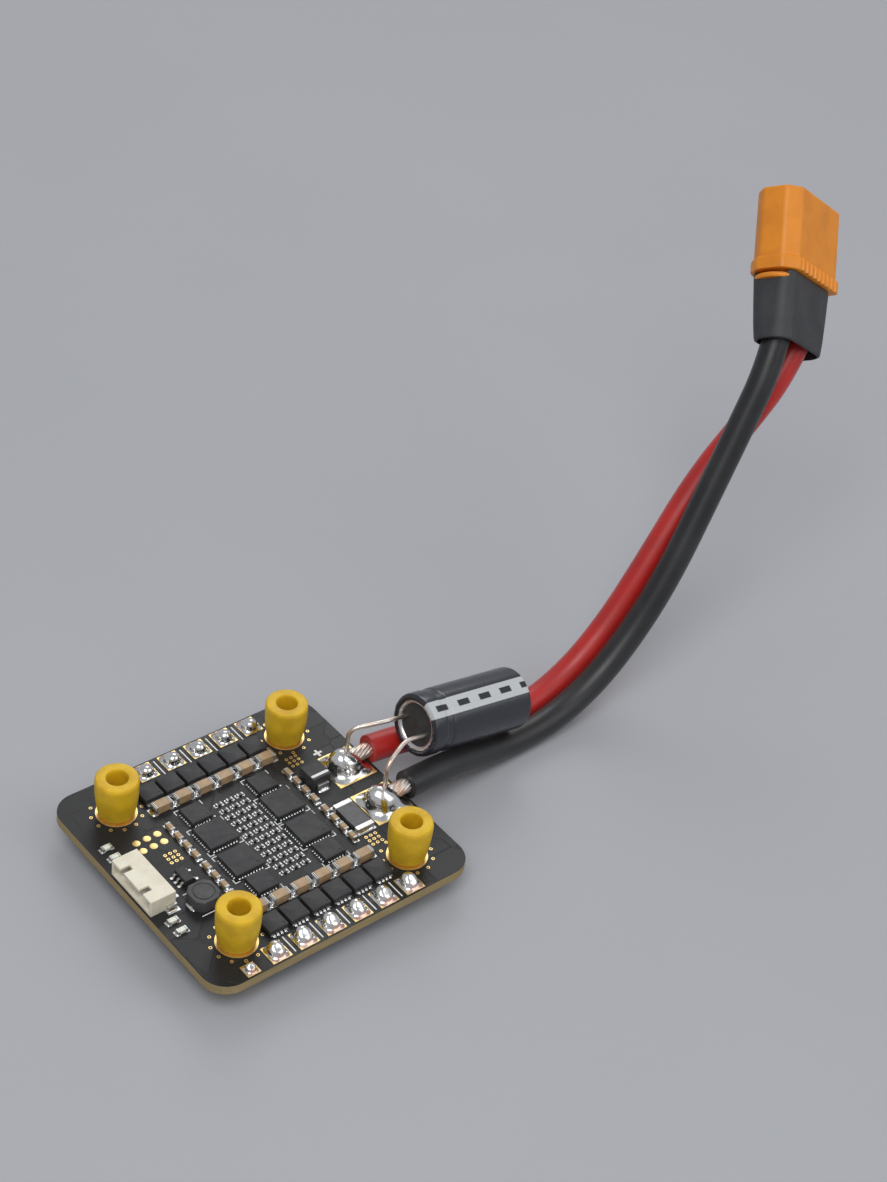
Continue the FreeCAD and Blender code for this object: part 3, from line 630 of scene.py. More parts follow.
def rectangle(size_x, size_y, radius, steps=3, spacing=None):
    x, y = size_x / 2, size_y / 2
    return rounded_outline([(x, y), (-x, y), (-x, -y), (x, -y)], radius, steps, spacing)


def lathe(profile, segments, wobble=lambda angle, height: 0):
    """Rings for a turned shape; profile is (radius, height) pairs."""
    return [[polar(radius + wobble(a, height), a, height) for a in circle(segments)]
            for radius, height in profile]


def placed_skin(place, rings, ring_closed=False):
    """A skin that is carried from its own frame to its place."""
    points, faces = skin(rings, ring_closed)
    return [place @ Vector(point) for point in points], faces


def flat_ring(outline, x, y, height):
    """An outline laid flat round a place."""
    return [Vector((x + px, y + py, height)) for px, py in outline]


def narrowed(ring, center, radius, height):
    """A circle with one point for each point of a ring, in the same directions."""
    ways = [(Vector((point.x, point.y)) - center).normalized() * radius for point in ring]
    return [Vector((center.x + way.x, center.y + way.y, height)) for way in ways]


def slab(outline, x, y, low_z, thickness):
    """A thin flat plate over an outline."""
    return skin([flat_ring(outline, x, y, z) for z in (low_z, low_z + thickness)])


def solids_of(node):
    """The box of each separate solid in a measured node, in millimetres, sorted by place."""
    mesh = nodes[node].data
    group = {}

    def root(key):
        while group[key] != key:
            group[key] = group[group[key]]
            key = group[key]
        return key

    keys = [tuple(round(v / MM, 3) for v in vertex.co) for vertex in mesh.vertices]
    for key in keys:
        group[key] = key
    for polygon in mesh.polygons:
        first = root(keys[polygon.vertices[0]])
        for index in polygon.vertices[1:]:
            group[root(keys[index])] = first
    members = {}
    for key in set(keys):
        members.setdefault(root(key), []).append(key)
    boxes = [(Vector(map(min, zip(*found))), Vector(map(max, zip(*found))))
             for found in members.values()]
    return sorted(boxes, key=lambda box: tuple(box[0]))


print("motor joints measured:", len(solids_of("motor_solder_joints")))

# %% [markdown]
# ## The plug
# An injection-moulded nylon shell: two corners are cut off so that it mates one way only. A
# rectangular block with sharp edges would look like a toy, so its skin climbs from the
# ribbed flange to the mouth, turns over the rim and goes down inside to the floor.

# %% The plug's own frame
plug_place = Vector((-103.7, -5.0, 53.7))
plug_wide = Vector((-0.8161, -0.0071, -0.5778)).normalized()
plug_mouth = Vector((-0.4779, -0.5539, 0.6818)).normalized()
plug_thin = plug_mouth.cross(plug_wide).normalized()
plug_frame = Matrix((plug_wide, plug_thin, plug_mouth)).transposed().to_4x4()
plug_frame.translation = plug_place
plug_width, plug_depth, plug_corner_cut = 16.0, 8.1, 2.0
boot_length = 11.0
flange_height, flange_reach = 2.2, 0.35
rib_count, rib_pitch, rib_width, rib_reach = 9, 1.5, 0.7, 0.25
wide_parts, rib_edge = 110, 0.12
shell_top = boot_length + flange_height + 11.6
plug_floor = boot_length + 2.0
plug_wall = 0.9


def plug_outline(inset, radius, ribs=0.0):
    """The plug's section at one inset; ribs raises the grip ribs on its wide sides."""
    soft = radius * 2.2
    x, y = plug_width / 2 - inset, plug_depth / 2 - inset
    cut = plug_corner_cut - inset * math.tan(math.pi / 8)
    outline = rounded_outline([(x, y), (cut - x, y), (-x, y - cut), (-x, cut - y),
                               (cut - x, -y), (x, -y)],
                              (radius, soft, soft, soft, soft, radius), 5)
    ribbed = []
    for point in divided(outline, lambda run: wide_parts if abs(run.x) > plug_width / 2 else 1):
        phase = (point.x - plug_corner_cut / 2) / rib_pitch
        in_rib = abs(phase) < rib_count / 2 and abs(point.y) > y - 0.01
        swell = max(0.0, min(1.0, (rib_width / 2 / rib_pitch - abs(phase - round(phase)))
                             * rib_pitch / rib_edge + 0.5)) if in_rib else 0.0
        ribbed.append((point.x, point.y + math.copysign(ribs * swell, point.y)))
    return ribbed


def level(outline, height):
    return [plug_frame @ Vector((x, y, height)) for x, y in outline]


# %% Housing
flange = -flange_reach
flange_top = boot_length + flange_height
shell_section = [  # inset, corner radius, height, rib reach
    (0.6, 0.3, boot_length, 0.0), (flange + 0.25, 0.4, boot_length, 0.4),
    (flange + 0.06, 0.45, boot_length + 0.12, 0.9), (flange, 0.5, boot_length + 0.35, 1.0),
    (flange, 0.5, flange_top - 0.45, 1.0), (flange + 0.08, 0.5, flange_top - 0.15, 0.8),
    (flange + 0.25, 0.5, flange_top, 0.2), (0.02, 0.55, flange_top + 0.12, 0.0),
    (0.0, 0.6, flange_top + 0.4, 0.0), (0.03, 0.6, shell_top - 0.5, 0.0),
    (0.08, 0.6, shell_top - 0.18, 0.0), (0.25, 0.5, shell_top - 0.02, 0.0),
    (0.40, 0.45, shell_top, 0.0), (plug_wall - 0.3, 0.4, shell_top - 0.02, 0.0),
    (plug_wall - 0.05, 0.35, shell_top - 0.25, 0.0), (plug_wall, 0.35, shell_top - 0.6, 0.0),
    (plug_wall + 0.05, 0.35, plug_floor + 0.2, 0.0), (plug_wall + 0.25, 0.3, plug_floor, 0.0)]
shell_rings = [level(plug_outline(inset, radius, rib_reach * share), height)
               for inset, radius, height, share in shell_section]
housing = Tray().add(*skin(shell_rings))
rail_height, rail_width, rail_drop = 8.4, 0.9, 5.2
snap_place, snap_half_x, snap_half_y, snap_drop = 5.7, 2.75, 3.5, 1.45
snap_profile = [(0.80, 0.0), (0.95, 0.12), (1.0, 0.35), (1.0, 0.6), (0.95, 0.82), (0.80, 0.95)]
for side in (1, -1):
    rail = [[plug_frame @ Vector((x, side * (plug_depth / 2 - plug_wall - depth),
                                  shell_top - rail_drop + z))
             for x, z in rectangle(rail_width, rail_height, 0.2)] for depth in (0.0, 0.3, 0.38)]
    housing.add(*skin(rail))
    snap = [[plug_frame @ Vector((side * snap_place + snap_half_x * share * math.cos(a),
                                  snap_half_y * share * math.sin(a),
                                  boot_length - snap_drop + height)) for a in circle(48)]
            for share, height in snap_profile]
    housing.add(*skin(snap))
housing_piece = housing.piece("plug_moulded_housing", "plug_nylon", "plug_housing")

# %% Boot
boot_wall, boot_inset, dip_half = 0.6, 0.3, 3.3


def boot_level(inset, radius, height, dip):
    """One ring of the boot; dip lowers its rim over the middle of the narrow ends."""
    ring = []
    for x, y in rectangle(plug_width - 2 * inset, plug_depth - 2 * inset, radius, 6):
        at_end = max(0.0, abs(x) / (plug_width / 2 - inset) - 0.9) * 10
        across = max(0.0, 1 - (abs(y) / dip_half) ** 4)
        ring.append(plug_frame @ Vector((x, y, height - dip * at_end * across)))
    return ring


taper, rim_dip = 0.35, 1.2
inner = boot_inset + boot_wall
boot_section = [  # inset, corner radius, height, dip of the rim
    (boot_inset + taper + 0.30, 2.6, 0.0, 0.0), (boot_inset + taper + 0.10, 2.7, 0.12, 0.0),
    (boot_inset + taper, 2.8, 0.45, 0.0), (boot_inset + taper * 0.55, 2.8, 2.5, 0.0),
    (boot_inset + taper * 0.15, 2.7, 6.0, 0.0), (boot_inset, 2.5, 8.8, 0.0),
    (boot_inset, 2.2, boot_length - 0.40, rim_dip),
    (boot_inset + 0.08, 2.1, boot_length - 0.14, rim_dip),
    (boot_inset + 0.25, 2.0, boot_length - 0.04, rim_dip),
    (inner, 1.7, boot_length - 0.15, rim_dip), (inner, 2.1, 6.0, 0.0),
    (inner + 0.15, 2.1, 2.0, 0.0), (inner + 0.2, 2.1, 0.15, 0.0),
    (boot_inset + taper + 0.50, 2.4, 0.0, 0.0)]
boot_rings = [boot_level(*row) for row in boot_section]
boot = Tray().add(*skin(boot_rings, ring_closed=True))
boot_piece = boot.piece("plug_soft_boot", "boot_plastic", "plug_boot")

# %% [markdown]
# ## Grommets
# Soft silicone grommets hold the board between the screws' washers. Each is turned in one
# go: a foot, a neck through the board and a barrel that widens upwards, with a soft rim.

# %% Grommets
grommet_profile = [
    (1.75, 0.0), (2.9, 0.0), (3.15, 0.08), (3.27, 0.28), (3.3, 0.6), (3.3, 3.3), (3.22, 3.72),
    (3.0, 3.95), (2.2, 4.0), (2.06, 4.1), (2.06, 5.5), (2.2, 5.6), (2.45, 5.62), (2.66, 5.8),
    (2.78, 6.2), (2.95, 7.2), (3.12, 8.3), (3.22, 9.4), (3.27, 10.8), (3.29, 11.9),
    (3.24, 12.3), (3.08, 12.52), (2.8, 12.6), (2.0, 12.6), (1.72, 12.52), (1.62, 12.3),
    (1.6, 11.9), (1.6, 0.7), (1.64, 0.2)]
sag_depth, sag_low, sag_high = 0.035, 0.5, 12.3
for node in sorted(name for name in nodes if name.startswith("grommet_")):
    low, high = box_of(node)
    middle = (low + high) / 2
    seed = Vector((middle.x, middle.y, 0))

    def sag(angle, height):
        if not sag_low < height < sag_high:
            return 0.0
        return sag_depth * noise.noise(seed + polar(1, angle, height * 0.3))

    place = Matrix.Translation((middle.x, middle.y, low.z))
    Tray().add(*placed_skin(place, lathe(grommet_profile, 56, sag), ring_closed=True)
               ).piece("soft_" + node, "rubber_yellow", node)

# %% [markdown]
# ## Solder
# Molten solder pulls itself into a drop and wets the pad in a thin concave skirt; a hand
# soldered joint also leans and dimples. A dome cut from a sphere misses all of that, so each
# drop is a skin whose rings follow a measured section and a little seeded noise.

# %% Edge joints
drop_section = [(1.00, 0.00), (0.985, 0.03), (0.93, 0.07), (0.88, 0.14), (0.85, 0.24),
                (0.825, 0.38), (0.775, 0.54), (0.69, 0.70), (0.57, 0.83), (0.41, 0.93),
                (0.22, 0.985), (0.06, 1.0)]


def solder_drop(middle, half, height, outward, lean, seed, steps=40, ridge=0.0):
    """A drop on a pad; outward is the side where the lead lay and the solder runs lower."""
    rings = []
    for share, rise in drop_section:
        ring = []
        for a in circle(steps):
            run = (0.5 + 0.5 * (math.cos(a) * outward.x + math.sin(a) * outward.y)) ** 2
            square = 1 + 0.30 * max(0.0, 1 - rise * 5) * math.sin(2 * a) ** 2
            x = half.x * share * math.cos(a) * square
            y = half.y * share * math.sin(a) * square * (1 - ridge * rise)
            sink = 1 - 0.24 * run * math.sin(math.pi * share)
            point = Vector((x, y, height * rise * sink))
            point += outward.to_3d() * (-lean * rise)
            swirl = noise.noise_vector(point * (1.1 / half.x) + seed) * 0.055 * height * rise
            ring.append(middle + point + swirl)
        rings.append(ring)
    return skin(rings)


solder_seed = 11
random.seed(solder_seed)
noise.seed_set(solder_seed)
pad_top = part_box("motor_pads")[1].z / MM


def on_pad(middle):
    """Where a drop starts: a hair inside the pad's top."""
    return Vector((middle.x, middle.y, pad_top - 0.02))


joints = Tray()
for low, high in solids_of("motor_solder_joints"):
    middle = (low + high) / 2
    outward = Vector((random.uniform(-0.2, 0.2), math.copysign(1.0, middle.y))).normalized()
    half = Vector((random.uniform(1.48, 1.56), random.uniform(1.56, 1.62)))
    joints.add(*solder_drop(on_pad(middle), half, random.uniform(1.5, 1.68), outward,
                            random.uniform(0.15, 0.35), Vector((middle.x, middle.y, 3.0))))
joints.piece("motor_solder_drops", "solder", "motor_solder_joints")
low, high = solids_of("auxiliary_solder_joint")[0]
Tray().add(*solder_drop(on_pad((low + high) / 2), Vector((0.92, 0.95)), 0.96,
                        Vector((0.3, 1.0)).normalized(), 0.1, Vector((5, 5, 5)))
           ).piece("auxiliary_solder_drop", "solder", "auxiliary_solder_joint")

# %% Battery joints and the strands that run into them
battery_half, battery_lean, battery_ridge = Vector((3.28, 3.18)), 0.35, 0.16
strand_count, strand_twist, strand_groove, strand_rings = 13, 0.42, 0.16, 25
for pole in ("positive", "negative"):
    low, high = box_of("battery_joint_" + pole)
    middle = (low + high) / 2
    mound = solder_drop(on_pad(middle), battery_half, high.z - pad_top - 0.05,
                        Vector((-1.0, 0.0)), battery_lean, Vector((middle.y, 2.0, 1.0)),
                        64, battery_ridge)
    Tray().add(*mound).piece("battery_solder_" + pole, "solder", "battery_joint_" + pole)
    low, high = box_of("board_end_strands_" + pole)
    core_y, core_z = (low.y + high.y) / 2, (low.z + high.z) / 2
    rings = []
    for step in range(strand_rings):
        x = low.x + (high.x - low.x) * step / (strand_rings - 1)
        ring = []
        for a in circle(8 * strand_count):
            bump = abs(math.sin(strand_count / 2 * (a + strand_twist * (x - low.x))))
            radius = (high.z - low.z) / 2 - strand_groove * (1 - bump)
            ring.append(Vector((x, core_y + radius * math.cos(a), core_z + radius * math.sin(a))))
        rings.append(ring)
    Tray().add(*skin(rings)).piece("twisted_strands_" + pole, "tinned_copper",
                                   "board_end_strands_" + pole)

# %% [markdown]
# ## Moulded chips
# A chip's body is black epoxy with soft edges, a slight draft and a small dimple that marks
# its first pin. The same function moulds every size of chip, on both faces of the board.


# %% Chip bodies
chip_corner, chip_edge, dot_margin = 0.12, 0.07, 0.22


def chip_body(low, high, dot, face_down):
    """A moulded body; dot is the radius of its first-pin dimple."""
    middle, size = (low + high) / 2, high - low
    spacing = size.x / 10 if dot else None

    def at(height):
        return high.z - height if face_down else low.z + height

    def ring(inset, height):
        outline = rectangle(size.x - 2 * inset, size.y - 2 * inset, chip_corner, 3, spacing)
        return flat_ring(outline, middle.x, middle.y, at(height))

    top = size.z
    rings = [ring(0.02, 0), ring(0.0, 0.05), ring(0.02, top - chip_edge),
             ring(0.03 + 0.3 * chip_edge, top - 0.3 * chip_edge), ring(0.03 + chip_edge, top)]
    if dot:
        center = Vector((low.x + dot_margin + 1.7 * dot, high.y - dot_margin - 1.7 * dot))
        for radius, height in ((dot, top), (0.8 * dot, top - 0.06), (0.3 * dot, top - 0.07)):
            rings.append(narrowed(rings[4], center, radius, at(height)))
    return skin(rings)


chip_dots = {"top_transistors": 0.2, "bottom_transistors": 0.2, "motor_controllers": 0.3,
             "gate_drivers": 0.24, "voltage_regulator": 0.0, "current_sense_amplifier": 0.0,
             "surge_diode": 0.0}
for node, dot in chip_dots.items():
    tray = Tray()
    for low, high in solids_of(node):
        tray.add(*chip_body(low, high, dot, node == "bottom_transistors"))
    tray.piece("moulded_" + node, "mould_compound", node)


# %% Solder fillets and contacts
x_axis, y_axis, up = Vector((1, 0, 0)), Vector((0, 1, 0)), Vector((0, 0, 1))
fillet_section = [(-0.5, 0.3), (-0.42, 0.8), (-0.25, 1), (0.25, 1), (0.42, 0.8), (0.5, 0.3)]


def fillet(foot, outward, height, reach, width):
    """A concave wedge of solder between a metal face and its pad."""
    along = up.cross(outward)
    rings = []
    for share, scale in fillet_section:
        base = foot + along * (width * share)
        ring = [base - outward * 0.03]
        for step in range(5):
            a = math.pi / 2 * step / 4
            ring.append(base + outward * (reach * scale * (1 - math.cos(a)))
                        + up * (height * scale * (1 - math.sin(a))))
        rings.append(ring)
    return skin(rings)


def add_land(x, y, size_x, size_y):
    """A thin pad with rounded corners, for solder to lie on."""
    outline = rectangle(size_x, size_y, min(land_corner, size_x / 2.1, size_y / 2.1), 2)
    lands.add(*slab(outline, x, y, board_top, land_thickness))


def soft_block(low, high, rim):
    """A block whose edges are all rounded."""
    middle, size = (low + high) / 2, high - low
    rings = []
    for inset, z in ((rim, low.z), (0.3 * rim, low.z + 0.3 * rim), (0, low.z + rim),
                     (0, high.z - rim), (0.3 * rim, high.z - 0.3 * rim), (rim, high.z)):
        outline = rectangle(size.x - 2 * inset, size.y - 2 * inset, rim, 2)
        rings.append(flat_ring(outline, middle.x, middle.y, z))
    return skin(rings)


contact_pitch, contact_width, contact_margin = 0.5, 0.27, 0.9
lead_pitch, leads_per_side = 0.65, 4
land_thickness, land_corner = 0.015, 0.06
contacts, lands = Tray(), Tray()
for low, high in solids_of("motor_controllers") + solids_of("gate_drivers"):
    middle, size = (low + high) / 2, high - low
    count = int((size.x - contact_margin) / contact_pitch) + 1
    for outward in (x_axis, -x_axis, y_axis, -y_axis):
        for shift in spread(count, contact_pitch):
            foot = middle + outward * (size.x / 2) + up.cross(outward) * shift
            foot.z = board_top
            contacts.add(*fillet(foot, outward, 0.28, 0.26, contact_width))
for low, high in solids_of("top_transistor_frames"):
    middle = (low + high) / 2
    edge = y_axis * math.copysign(1, middle.y)
    outer_y, inner_y = (high.y, low.y) if middle.y > 0 else (low.y, high.y)
    for shift in spread(leads_per_side, lead_pitch):
        contacts.add(*fillet(Vector((middle.x + shift, outer_y, board_top)), edge,
                             0.17, 0.3, 0.42))
    contacts.add(*fillet(Vector((middle.x, inner_y, board_top)), -edge, 0.17, 0.28, 2.8))
print("contacts and fillets so far, faces:", len(contacts.faces))

# %% [markdown]
# ## Two-ended parts
# Capacitors, resistors, the current shunt and the lights are ceramic bricks with dipped metal
# ends. The ends bulge a little, and each sits in its own bright fillet on a pad.

# %% Ends, fillets and pads
end_swell = 0.02
two_ended = {"large_capacitors": (0.16, 0.42, 0.95), "small_capacitors": (0.09, 0.3, 0.5),
             "small_resistors": (0.05, 0.2, 0.26), "current_shunt": (0.06, 0.4, 0.5),
             "status_lights": (0.06, 0.26, 0.3)}
for node, (rim, reach, climb) in two_ended.items():
    middles = [(low + high) / 2 for low, high in solids_of(node)]
    ends = Tray()
    for low, high in solids_of(node + "_ends"):
        end = (low + high) / 2
        body = min(middles, key=lambda place: (place - end).length)
        outward = Vector((end.x - body.x, end.y - body.y, 0)).normalized()
        outward = Vector((round(outward.x), round(outward.y), 0))
        size = high - low
        swell = (x_axis + y_axis) * end_swell
        ends.add(*soft_block(low - swell, high + swell + up * end_swell, rim))
        depth = abs(outward.dot(size))
        width = abs(up.cross(outward).dot(size))
        foot = end + outward * (depth / 2 + land_thickness)
        foot.z = board_top + land_thickness
        contacts.add(*fillet(foot, outward, climb, reach, width * 0.96))
        pad_middle = end + outward * (reach / 2)
        along_x = abs(outward.x) > 0.5
        pad_size = (depth + reach + 0.1, width + 0.24)
        add_land(pad_middle.x, pad_middle.y, *(pad_size if along_x else pad_size[::-1]))
    ends.piece("dipped_" + node + "_ends", "tin_plate", node + "_ends")

# %% Folded leads of the two small moulded parts
leg_thickness = 0.13


def folded_leg(foot, outward, width, rise):
    """A gull-wing lead: out of the body, down and flat on its pad."""
    line = [(-0.05, rise), (0.22, rise), (0.34, rise - 0.1), (0.42, 0.16), (0.52, 0.065),
            (0.9, 0.065)]
    outer = [(x + 0.02, z + leg_thickness / 2) for x, z in line]
    inner = [(x - 0.02, z - leg_thickness / 2) for x, z in line[::-1]]
    along = up.cross(outward)
    rings = [[foot + outward * x + up * z + along * (width * share) for x, z in outer + inner]
             for share in (-0.5, 0.5)]
    return skin(rings)


legs = Tray()
leg_rows = [  # node, the way its legs point, how many, their pitch and width
    ("voltage_regulator", x_axis, 3, 0.95, 0.4), ("voltage_regulator", -x_axis, 2, 1.9, 0.4),
    ("current_sense_amplifier", y_axis, 4, 0.65, 0.3),
    ("current_sense_amplifier", -y_axis, 4, 0.65, 0.3)]
for node, way, count, pitch, width in leg_rows:
    low, high = solids_of(node)[0]
    middle, size = (low + high) / 2, high - low
    for shift in spread(count, pitch):
        foot = middle + way * (abs(way.dot(size)) / 2)
        foot += up.cross(way) * shift
        foot.z = board_top
        legs.add(*folded_leg(foot, way, width, size.z * 0.5))
legs.piece("folded_leads", "tin_plate")

# %% [markdown]
# ## Shielded inductor
# A ferrite drum sits in a square ferrite shield with cut corners; a ring of glue fills the
# gap between them. The ring is what tells it from a plain block.

# %% Inductor
low, high = solids_of("regulator_inductor")[0]
middle, size = (low + high) / 2, high - low
corner_cut = 0.9
drum_section = [(1.72, 0.0), (1.68, 0.03), (1.66, 0.16), (1.45, 0.18), (1.42, 0.03),
                (1.36, 0.0), (0.3, 0.01)]  # radius, depth below the top
half = size.x / 2
shield = [(half, half - corner_cut), (half - corner_cut, half), (corner_cut - half, half),
          (-half, half - corner_cut), (-half, corner_cut - half), (corner_cut - half, -half),
          (half - corner_cut, -half), (half, corner_cut - half)]


def shield_ring(share, height):
    outline = [(x * share, y * share) for x, y in rounded_outline(shield, 0.2, 3, 0.3)]
    return flat_ring(outline, middle.x, middle.y, low.z + height)


rings = [shield_ring(0.98, 0), shield_ring(1.0, 0.1), shield_ring(1.0, size.z - 0.15),
         shield_ring(0.985, size.z - 0.04), shield_ring(0.955, size.z)]
for radius, depth in drum_section:
    rings.append(narrowed(rings[4], middle.to_2d(), radius, low.z + size.z - depth))
Tray().add(*skin(rings)).piece("shielded_inductor", "ferrite", "regulator_inductor")
for sign in (1, -1):
    foot = Vector((middle.x + sign * half, middle.y, board_top))
    contacts.add(*fillet(foot, x_axis * sign, 0.5, 0.35, 1.9))


# %% Solder at the socket and the surge diode
def side_fillet(low, high, sign, height, reach):
    """Solder along the whole side of a metal part that faces +Y or -Y."""
    foot = Vector(((low.x + high.x) / 2, high.y if sign > 0 else low.y, board_top))
    contacts.add(*fillet(foot, y_axis * sign, height, reach, high.x - low.x))
    return foot


for low, high in solids_of("signal_socket_contacts"):
    foot = Vector((low.x, (low.y + high.y) / 2, board_top))
    contacts.add(*fillet(foot, -x_axis, 0.26, 0.3, 0.42))
    add_land(low.x - 0.02, foot.y, 1.0, 0.55)
for low, high in solids_of("signal_socket_anchors"):
    foot = side_fillet(low, high, math.copysign(1, low.y), 0.5, 0.3)
    add_land(foot.x, foot.y, 2.0, 1.1)
diode_low = box_of("surge_diode")[0]
for low, high in solids_of("surge_diode_tabs"):
    side_fillet(low, high, 1 if low.y > diode_low.y + 1 else -1, 0.8, 0.45)
contacts.piece("solder_fillets", "solder")
lands.piece("component_lands", "tin_plate")

# %% [markdown]
# ## Filter capacitor
# A drawn aluminium can, beaded in over a rubber bung, with its mouth curled over and three
# arms scored in its base so that it can vent. A film sleeve is shrunk round it and
# puckers where it folds over both ends.

# %% Can and sleeve
can_back = Vector((-math.cos(can_tilt), 0.0, -math.sin(can_tilt)))
can_frame = Matrix.Translation(can_front) @ can_back.to_track_quat("Z", "Y").to_matrix().to_4x4()
can_length, can_segments = 20.0, 96
base_radius, base_rings = 4.1, 27
can_profile = [(3.3, 0.75), (3.42, 0.3), (3.62, 0.1), (3.9, 0.04), (4.3, 0.06), (4.62, 0.2),
               (4.82, 0.5), (4.84, 2.3), (4.7, 2.75), (4.45, 3.05), (4.42, 3.3), (4.7, 3.65),
               (4.84, 4.1), (4.84, can_length - 0.8), (4.76, can_length - 0.3),
               (4.5, can_length - 0.04), (4.2, can_length)]
score_reach, score_half, score_depth = 3.0, 0.16, 0.16


def scored(angle, radius):
    """How deep the vent score is at a point of the can's base."""
    depth = 0.0
    for arm in range(3):
        way = math.radians(90 + 120 * arm)
        ahead = radius * math.cos(angle - way)
        beside = abs(radius * math.sin(angle - way))
        if 0 <= ahead < score_reach:
            depth = max(depth, score_depth * max(0.0, 1 - beside / score_half))
    return depth


rings = lathe(can_profile, can_segments)
for step in range(base_rings):
    radius = base_radius * (1 - step / base_rings)
    rings.append([polar(radius, a, can_length - scored(a, radius))
                  for a in circle(can_segments)])
Tray().add(*placed_skin(can_frame, rings)
           ).piece("drawn_can", "can_aluminium", "filter_capacitor_can")
sleeve_profile = [(3.95, 0.02), (4.0, -0.08), (4.2, -0.14), (4.6, -0.1), (4.9, 0.08), (4.98, 0.4),
                  (4.99, 2.2), (4.88, 2.65), (4.62, 3.0), (4.6, 3.35), (4.86, 3.75), (4.99, 4.2),
                  (4.99, 12.0), (4.99, can_length - 0.6), (4.93, can_length - 0.1),
                  (4.7, can_length + 0.1), (4.3, can_length + 0.14), (4.05, can_length + 0.1),
                  (3.98, can_length + 0.02), (4.5, can_length - 0.02), (4.85, can_length - 0.5),
                  (4.85, 0.5), (4.5, 0.04)]


def pucker(angle, height):
    """Small folds where the film turns over the ends, and faint ripples along it."""
    near_end = max(0.0, 1 - min(abs(height), abs(height - can_length)) / 0.35)
    fold = noise.noise(polar(6, angle, height * 0.3))
    return -0.02 + 0.10 * near_end * fold * 0.6 + 0.012 * fold


Tray().add(*placed_skin(can_frame, lathe(sleeve_profile, can_segments, pucker), True)
           ).piece("shrunk_sleeve", "sleeve_film", "filter_capacitor_sleeve")

# %% [markdown]
# ## Print, holes and spare pads on the board
# White ink marks where parts go: corners round the chips, a dot at each first pin, a plus and
# a minus at the battery pads. Plated holes stitch the copper layers together in rings
# round the mounting holes. They are thin solids, so they also survive export.

# %% White print
ink_height, ink_width = 0.02, 0.16
r = Recipe("printed_ink")
finishes["printed_ink"] = r.finish(
    base_color=r.blend(r.grain(0.25).step(0.3, 0.5), (0.62, 0.62, 0.60), (0.78, 0.78, 0.76)),
    roughness=0.6 + r.grain(0.4) * 0.1, normal=r.relief(r.grain(0.1), 0.01))
ink = Tray()


def mark(x, y, outline, low_z=board_top):
    """A printed shape: its outline is given round its own middle."""
    ink.add(*slab(outline, x, y, low_z, ink_height))


def bar(size_x, size_y):
    return rectangle(size_x, size_y, min(size_x, size_y) * 0.45, 2)


def corner_mark(sign_x, sign_y, arm):
    """An L whose elbow points away from the part it frames."""
    w = ink_width / 2
    return [(sign_x * px, sign_y * py) for px, py in
            ((w, w), (-arm, w), (-arm, -w), (-w, -w), (-w, -arm), (w, -arm))]


def plus(arm, width):
    w = width / 2
    return [(arm, w), (w, w), (w, arm), (-w, arm), (-w, w), (-arm, w),
            (-arm, -w), (-w, -w), (-w, -arm), (w, -arm), (w, -w), (arm, -w)]


corner_gap, corner_arm = 0.5, 0.8
for node in ("motor_controllers", "gate_drivers"):
    for low, high in solids_of(node):
        middle, half = (low + high) / 2, (high - low) / 2
        for sx, sy in quadrants:
            if node == "motor_controllers" or sy * middle.y > 0:
                mark(middle.x + sx * (half.x + corner_gap),
                     middle.y + sy * (half.y + corner_gap), corner_mark(sx, sy, corner_arm))
        mark(middle.x - half.x - corner_gap, middle.y + half.y - 0.2, bar(0.32, 0.32))
pad_bar_y = 19.75
pads = solids_of("motor_pads")
for side in (1, -1):
    row = sorted((low + high).x / 2 for low, high in pads if low.y * side > 0)
    for left, right in zip(row, row[1:]):
        mark((left + right) / 2, side * pad_bar_y, bar(0.2, 3.3))
for low, high in solids_of("battery_pads"):
    side = math.copysign(1, low.y)
    x, y = high.x - 1.8, (high.y if side > 0 else low.y) + side * 1.1
    mark(x, y, bar(1.5, 0.4) if side > 0 else plus(0.75, 0.4))
low, high = box_of("regulator_inductor")
for y in (low.y - 0.35, high.y + 0.35):
    mark((low.x + high.x) / 2, y, bar(high.x - low.x - 0.6, ink_width))
low, high = box_of("current_shunt")
for x in (low.x - 0.35, high.x + 0.35):
    mark(x, (low.y + high.y) / 2, bar(ink_width, high.y - low.y - 1.8))
low, high = box_of("surge_diode")
mark((low.x + high.x) / 2, high.y - 0.75, bar(high.x - low.x - 0.24, 0.5), high.z - ink_height / 2)
ink.piece("board_print", "printed_ink")

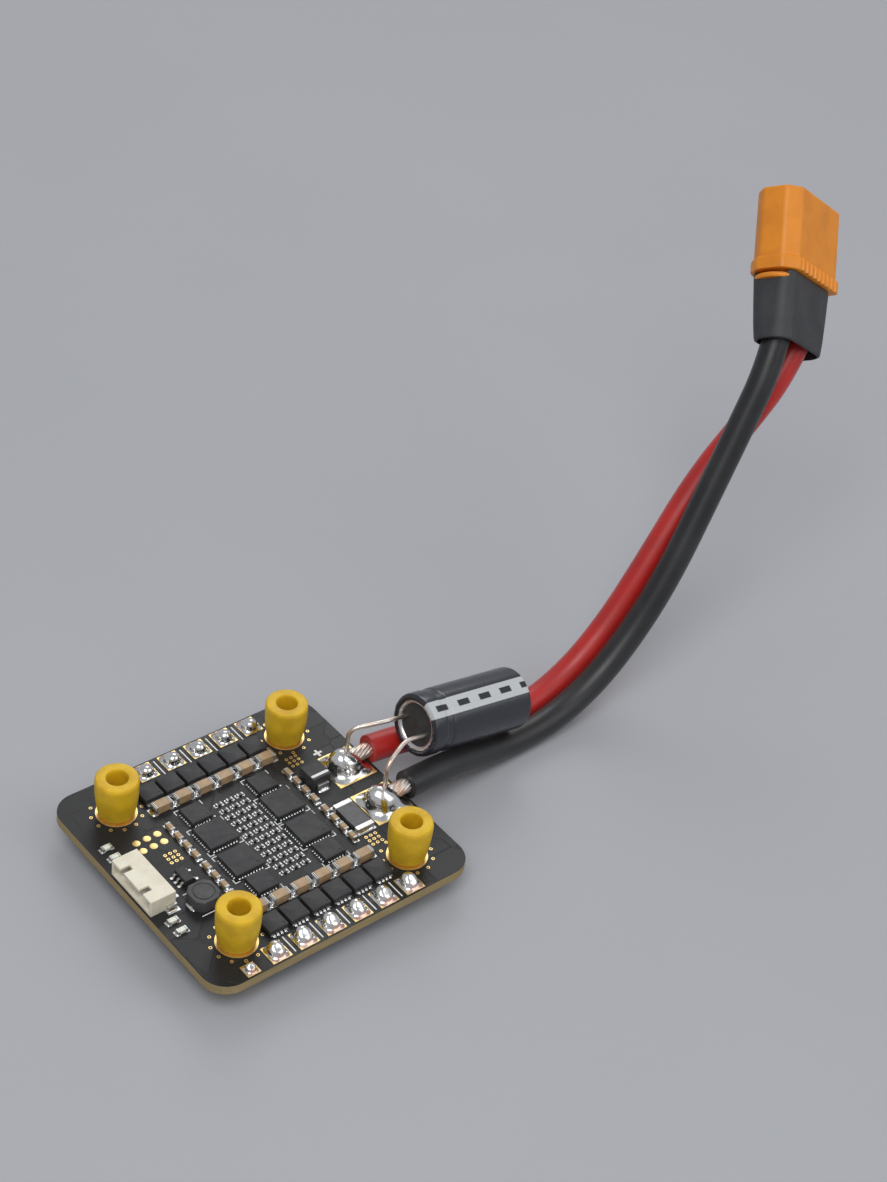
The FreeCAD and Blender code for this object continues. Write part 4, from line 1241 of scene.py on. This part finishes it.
# %% Plated holes, bare rings and spare pads
plated = Tray()
via_ring = [(0.13, 0.0), (0.29, 0.0), (0.27, 0.03), (0.15, 0.03)]
hole_ring = [(2.2, 0.0), (3.12, 0.0), (3.1, 0.03), (2.22, 0.03)]
spare_pad = [(0.6, 0.0), (0.6, 0.03), (0.54, 0.045), (0.05, 0.045)]
stitch_radius, stitch_count, grid_pitch, via_segments = 3.85, 12, 0.85, 14
crowd = [box for node in ("motor_pads", "auxiliary_pad", "top_transistor_frames",
                          "large_capacitors_ends", "current_sense_amplifier", "battery_pads",
                          "regulator_inductor", "status_lights_ends", "current_shunt_ends",
                          "signal_socket_anchors")
         for box in solids_of(node)]
sink_low, sink_high = box_of("heat_sink")


def is_free(x, y, room=0.45):
    """Whether nothing on the board's top comes near a place."""
    return not any(low.x - room < x < high.x + room and low.y - room < y < high.y + room
                   for low, high in crowd)


def plated_at(x, y, section, segments, below=False):
    """A gold ring or pad on the top of the board, or on its underside."""
    points, faces = skin(lathe(section, segments), ring_closed=section is not spare_pad)
    place = Vector((x, y, board_bottom if below else board_top))
    flip = Vector((1, 1, -1 if below else 1))
    plated.add([point * flip + place for point in points], faces)


mounting = frame["record"]["mounts"][0]["dims"]
hole_x, hole_y = mounting["spacing_x_mm"] / 2, mounting["spacing_y_mm"] / 2
for sx, sy in quadrants:
    for below in (False, True):
        plated_at(sx * hole_x, sy * hole_y, hole_ring, 56, below)
    for index in range(stitch_count):
        a = 2 * math.pi * (index + 0.5) / stitch_count
        x = sx * hole_x + stitch_radius * math.cos(a)
        y = sy * hole_y + stitch_radius * math.sin(a)
        if is_free(x, y):
            plated_at(x, y, via_ring, via_segments)
        if not sink_low.x < x < sink_high.x:
            plated_at(x, y, via_ring, via_segments, True)
front_grid, rear_grid = (12.6, -2.2), (-14.1, 9.1)
spare_columns, spare_rows = (12.8, 14.6, 16.4), (-6.4, -8.2)
for row in range(3):
    for column in range(3):
        shift_x, shift_y = grid_pitch * column, grid_pitch * row
        plated_at(front_grid[0] + shift_x, front_grid[1] - shift_y, via_ring, via_segments)
        for side in (1, -1):
            plated_at(rear_grid[0] + shift_x, side * (rear_grid[1] + shift_y),
                      via_ring, via_segments)
for x in spare_columns:
    for y in spare_rows:
        plated_at(x, y, spare_pad, 24)
plated.piece("plated_holes_and_pads", "gold_plate")

# %% [markdown]
# ## Last update

# %% Update the view layer
bpy.context.view_layer.update()
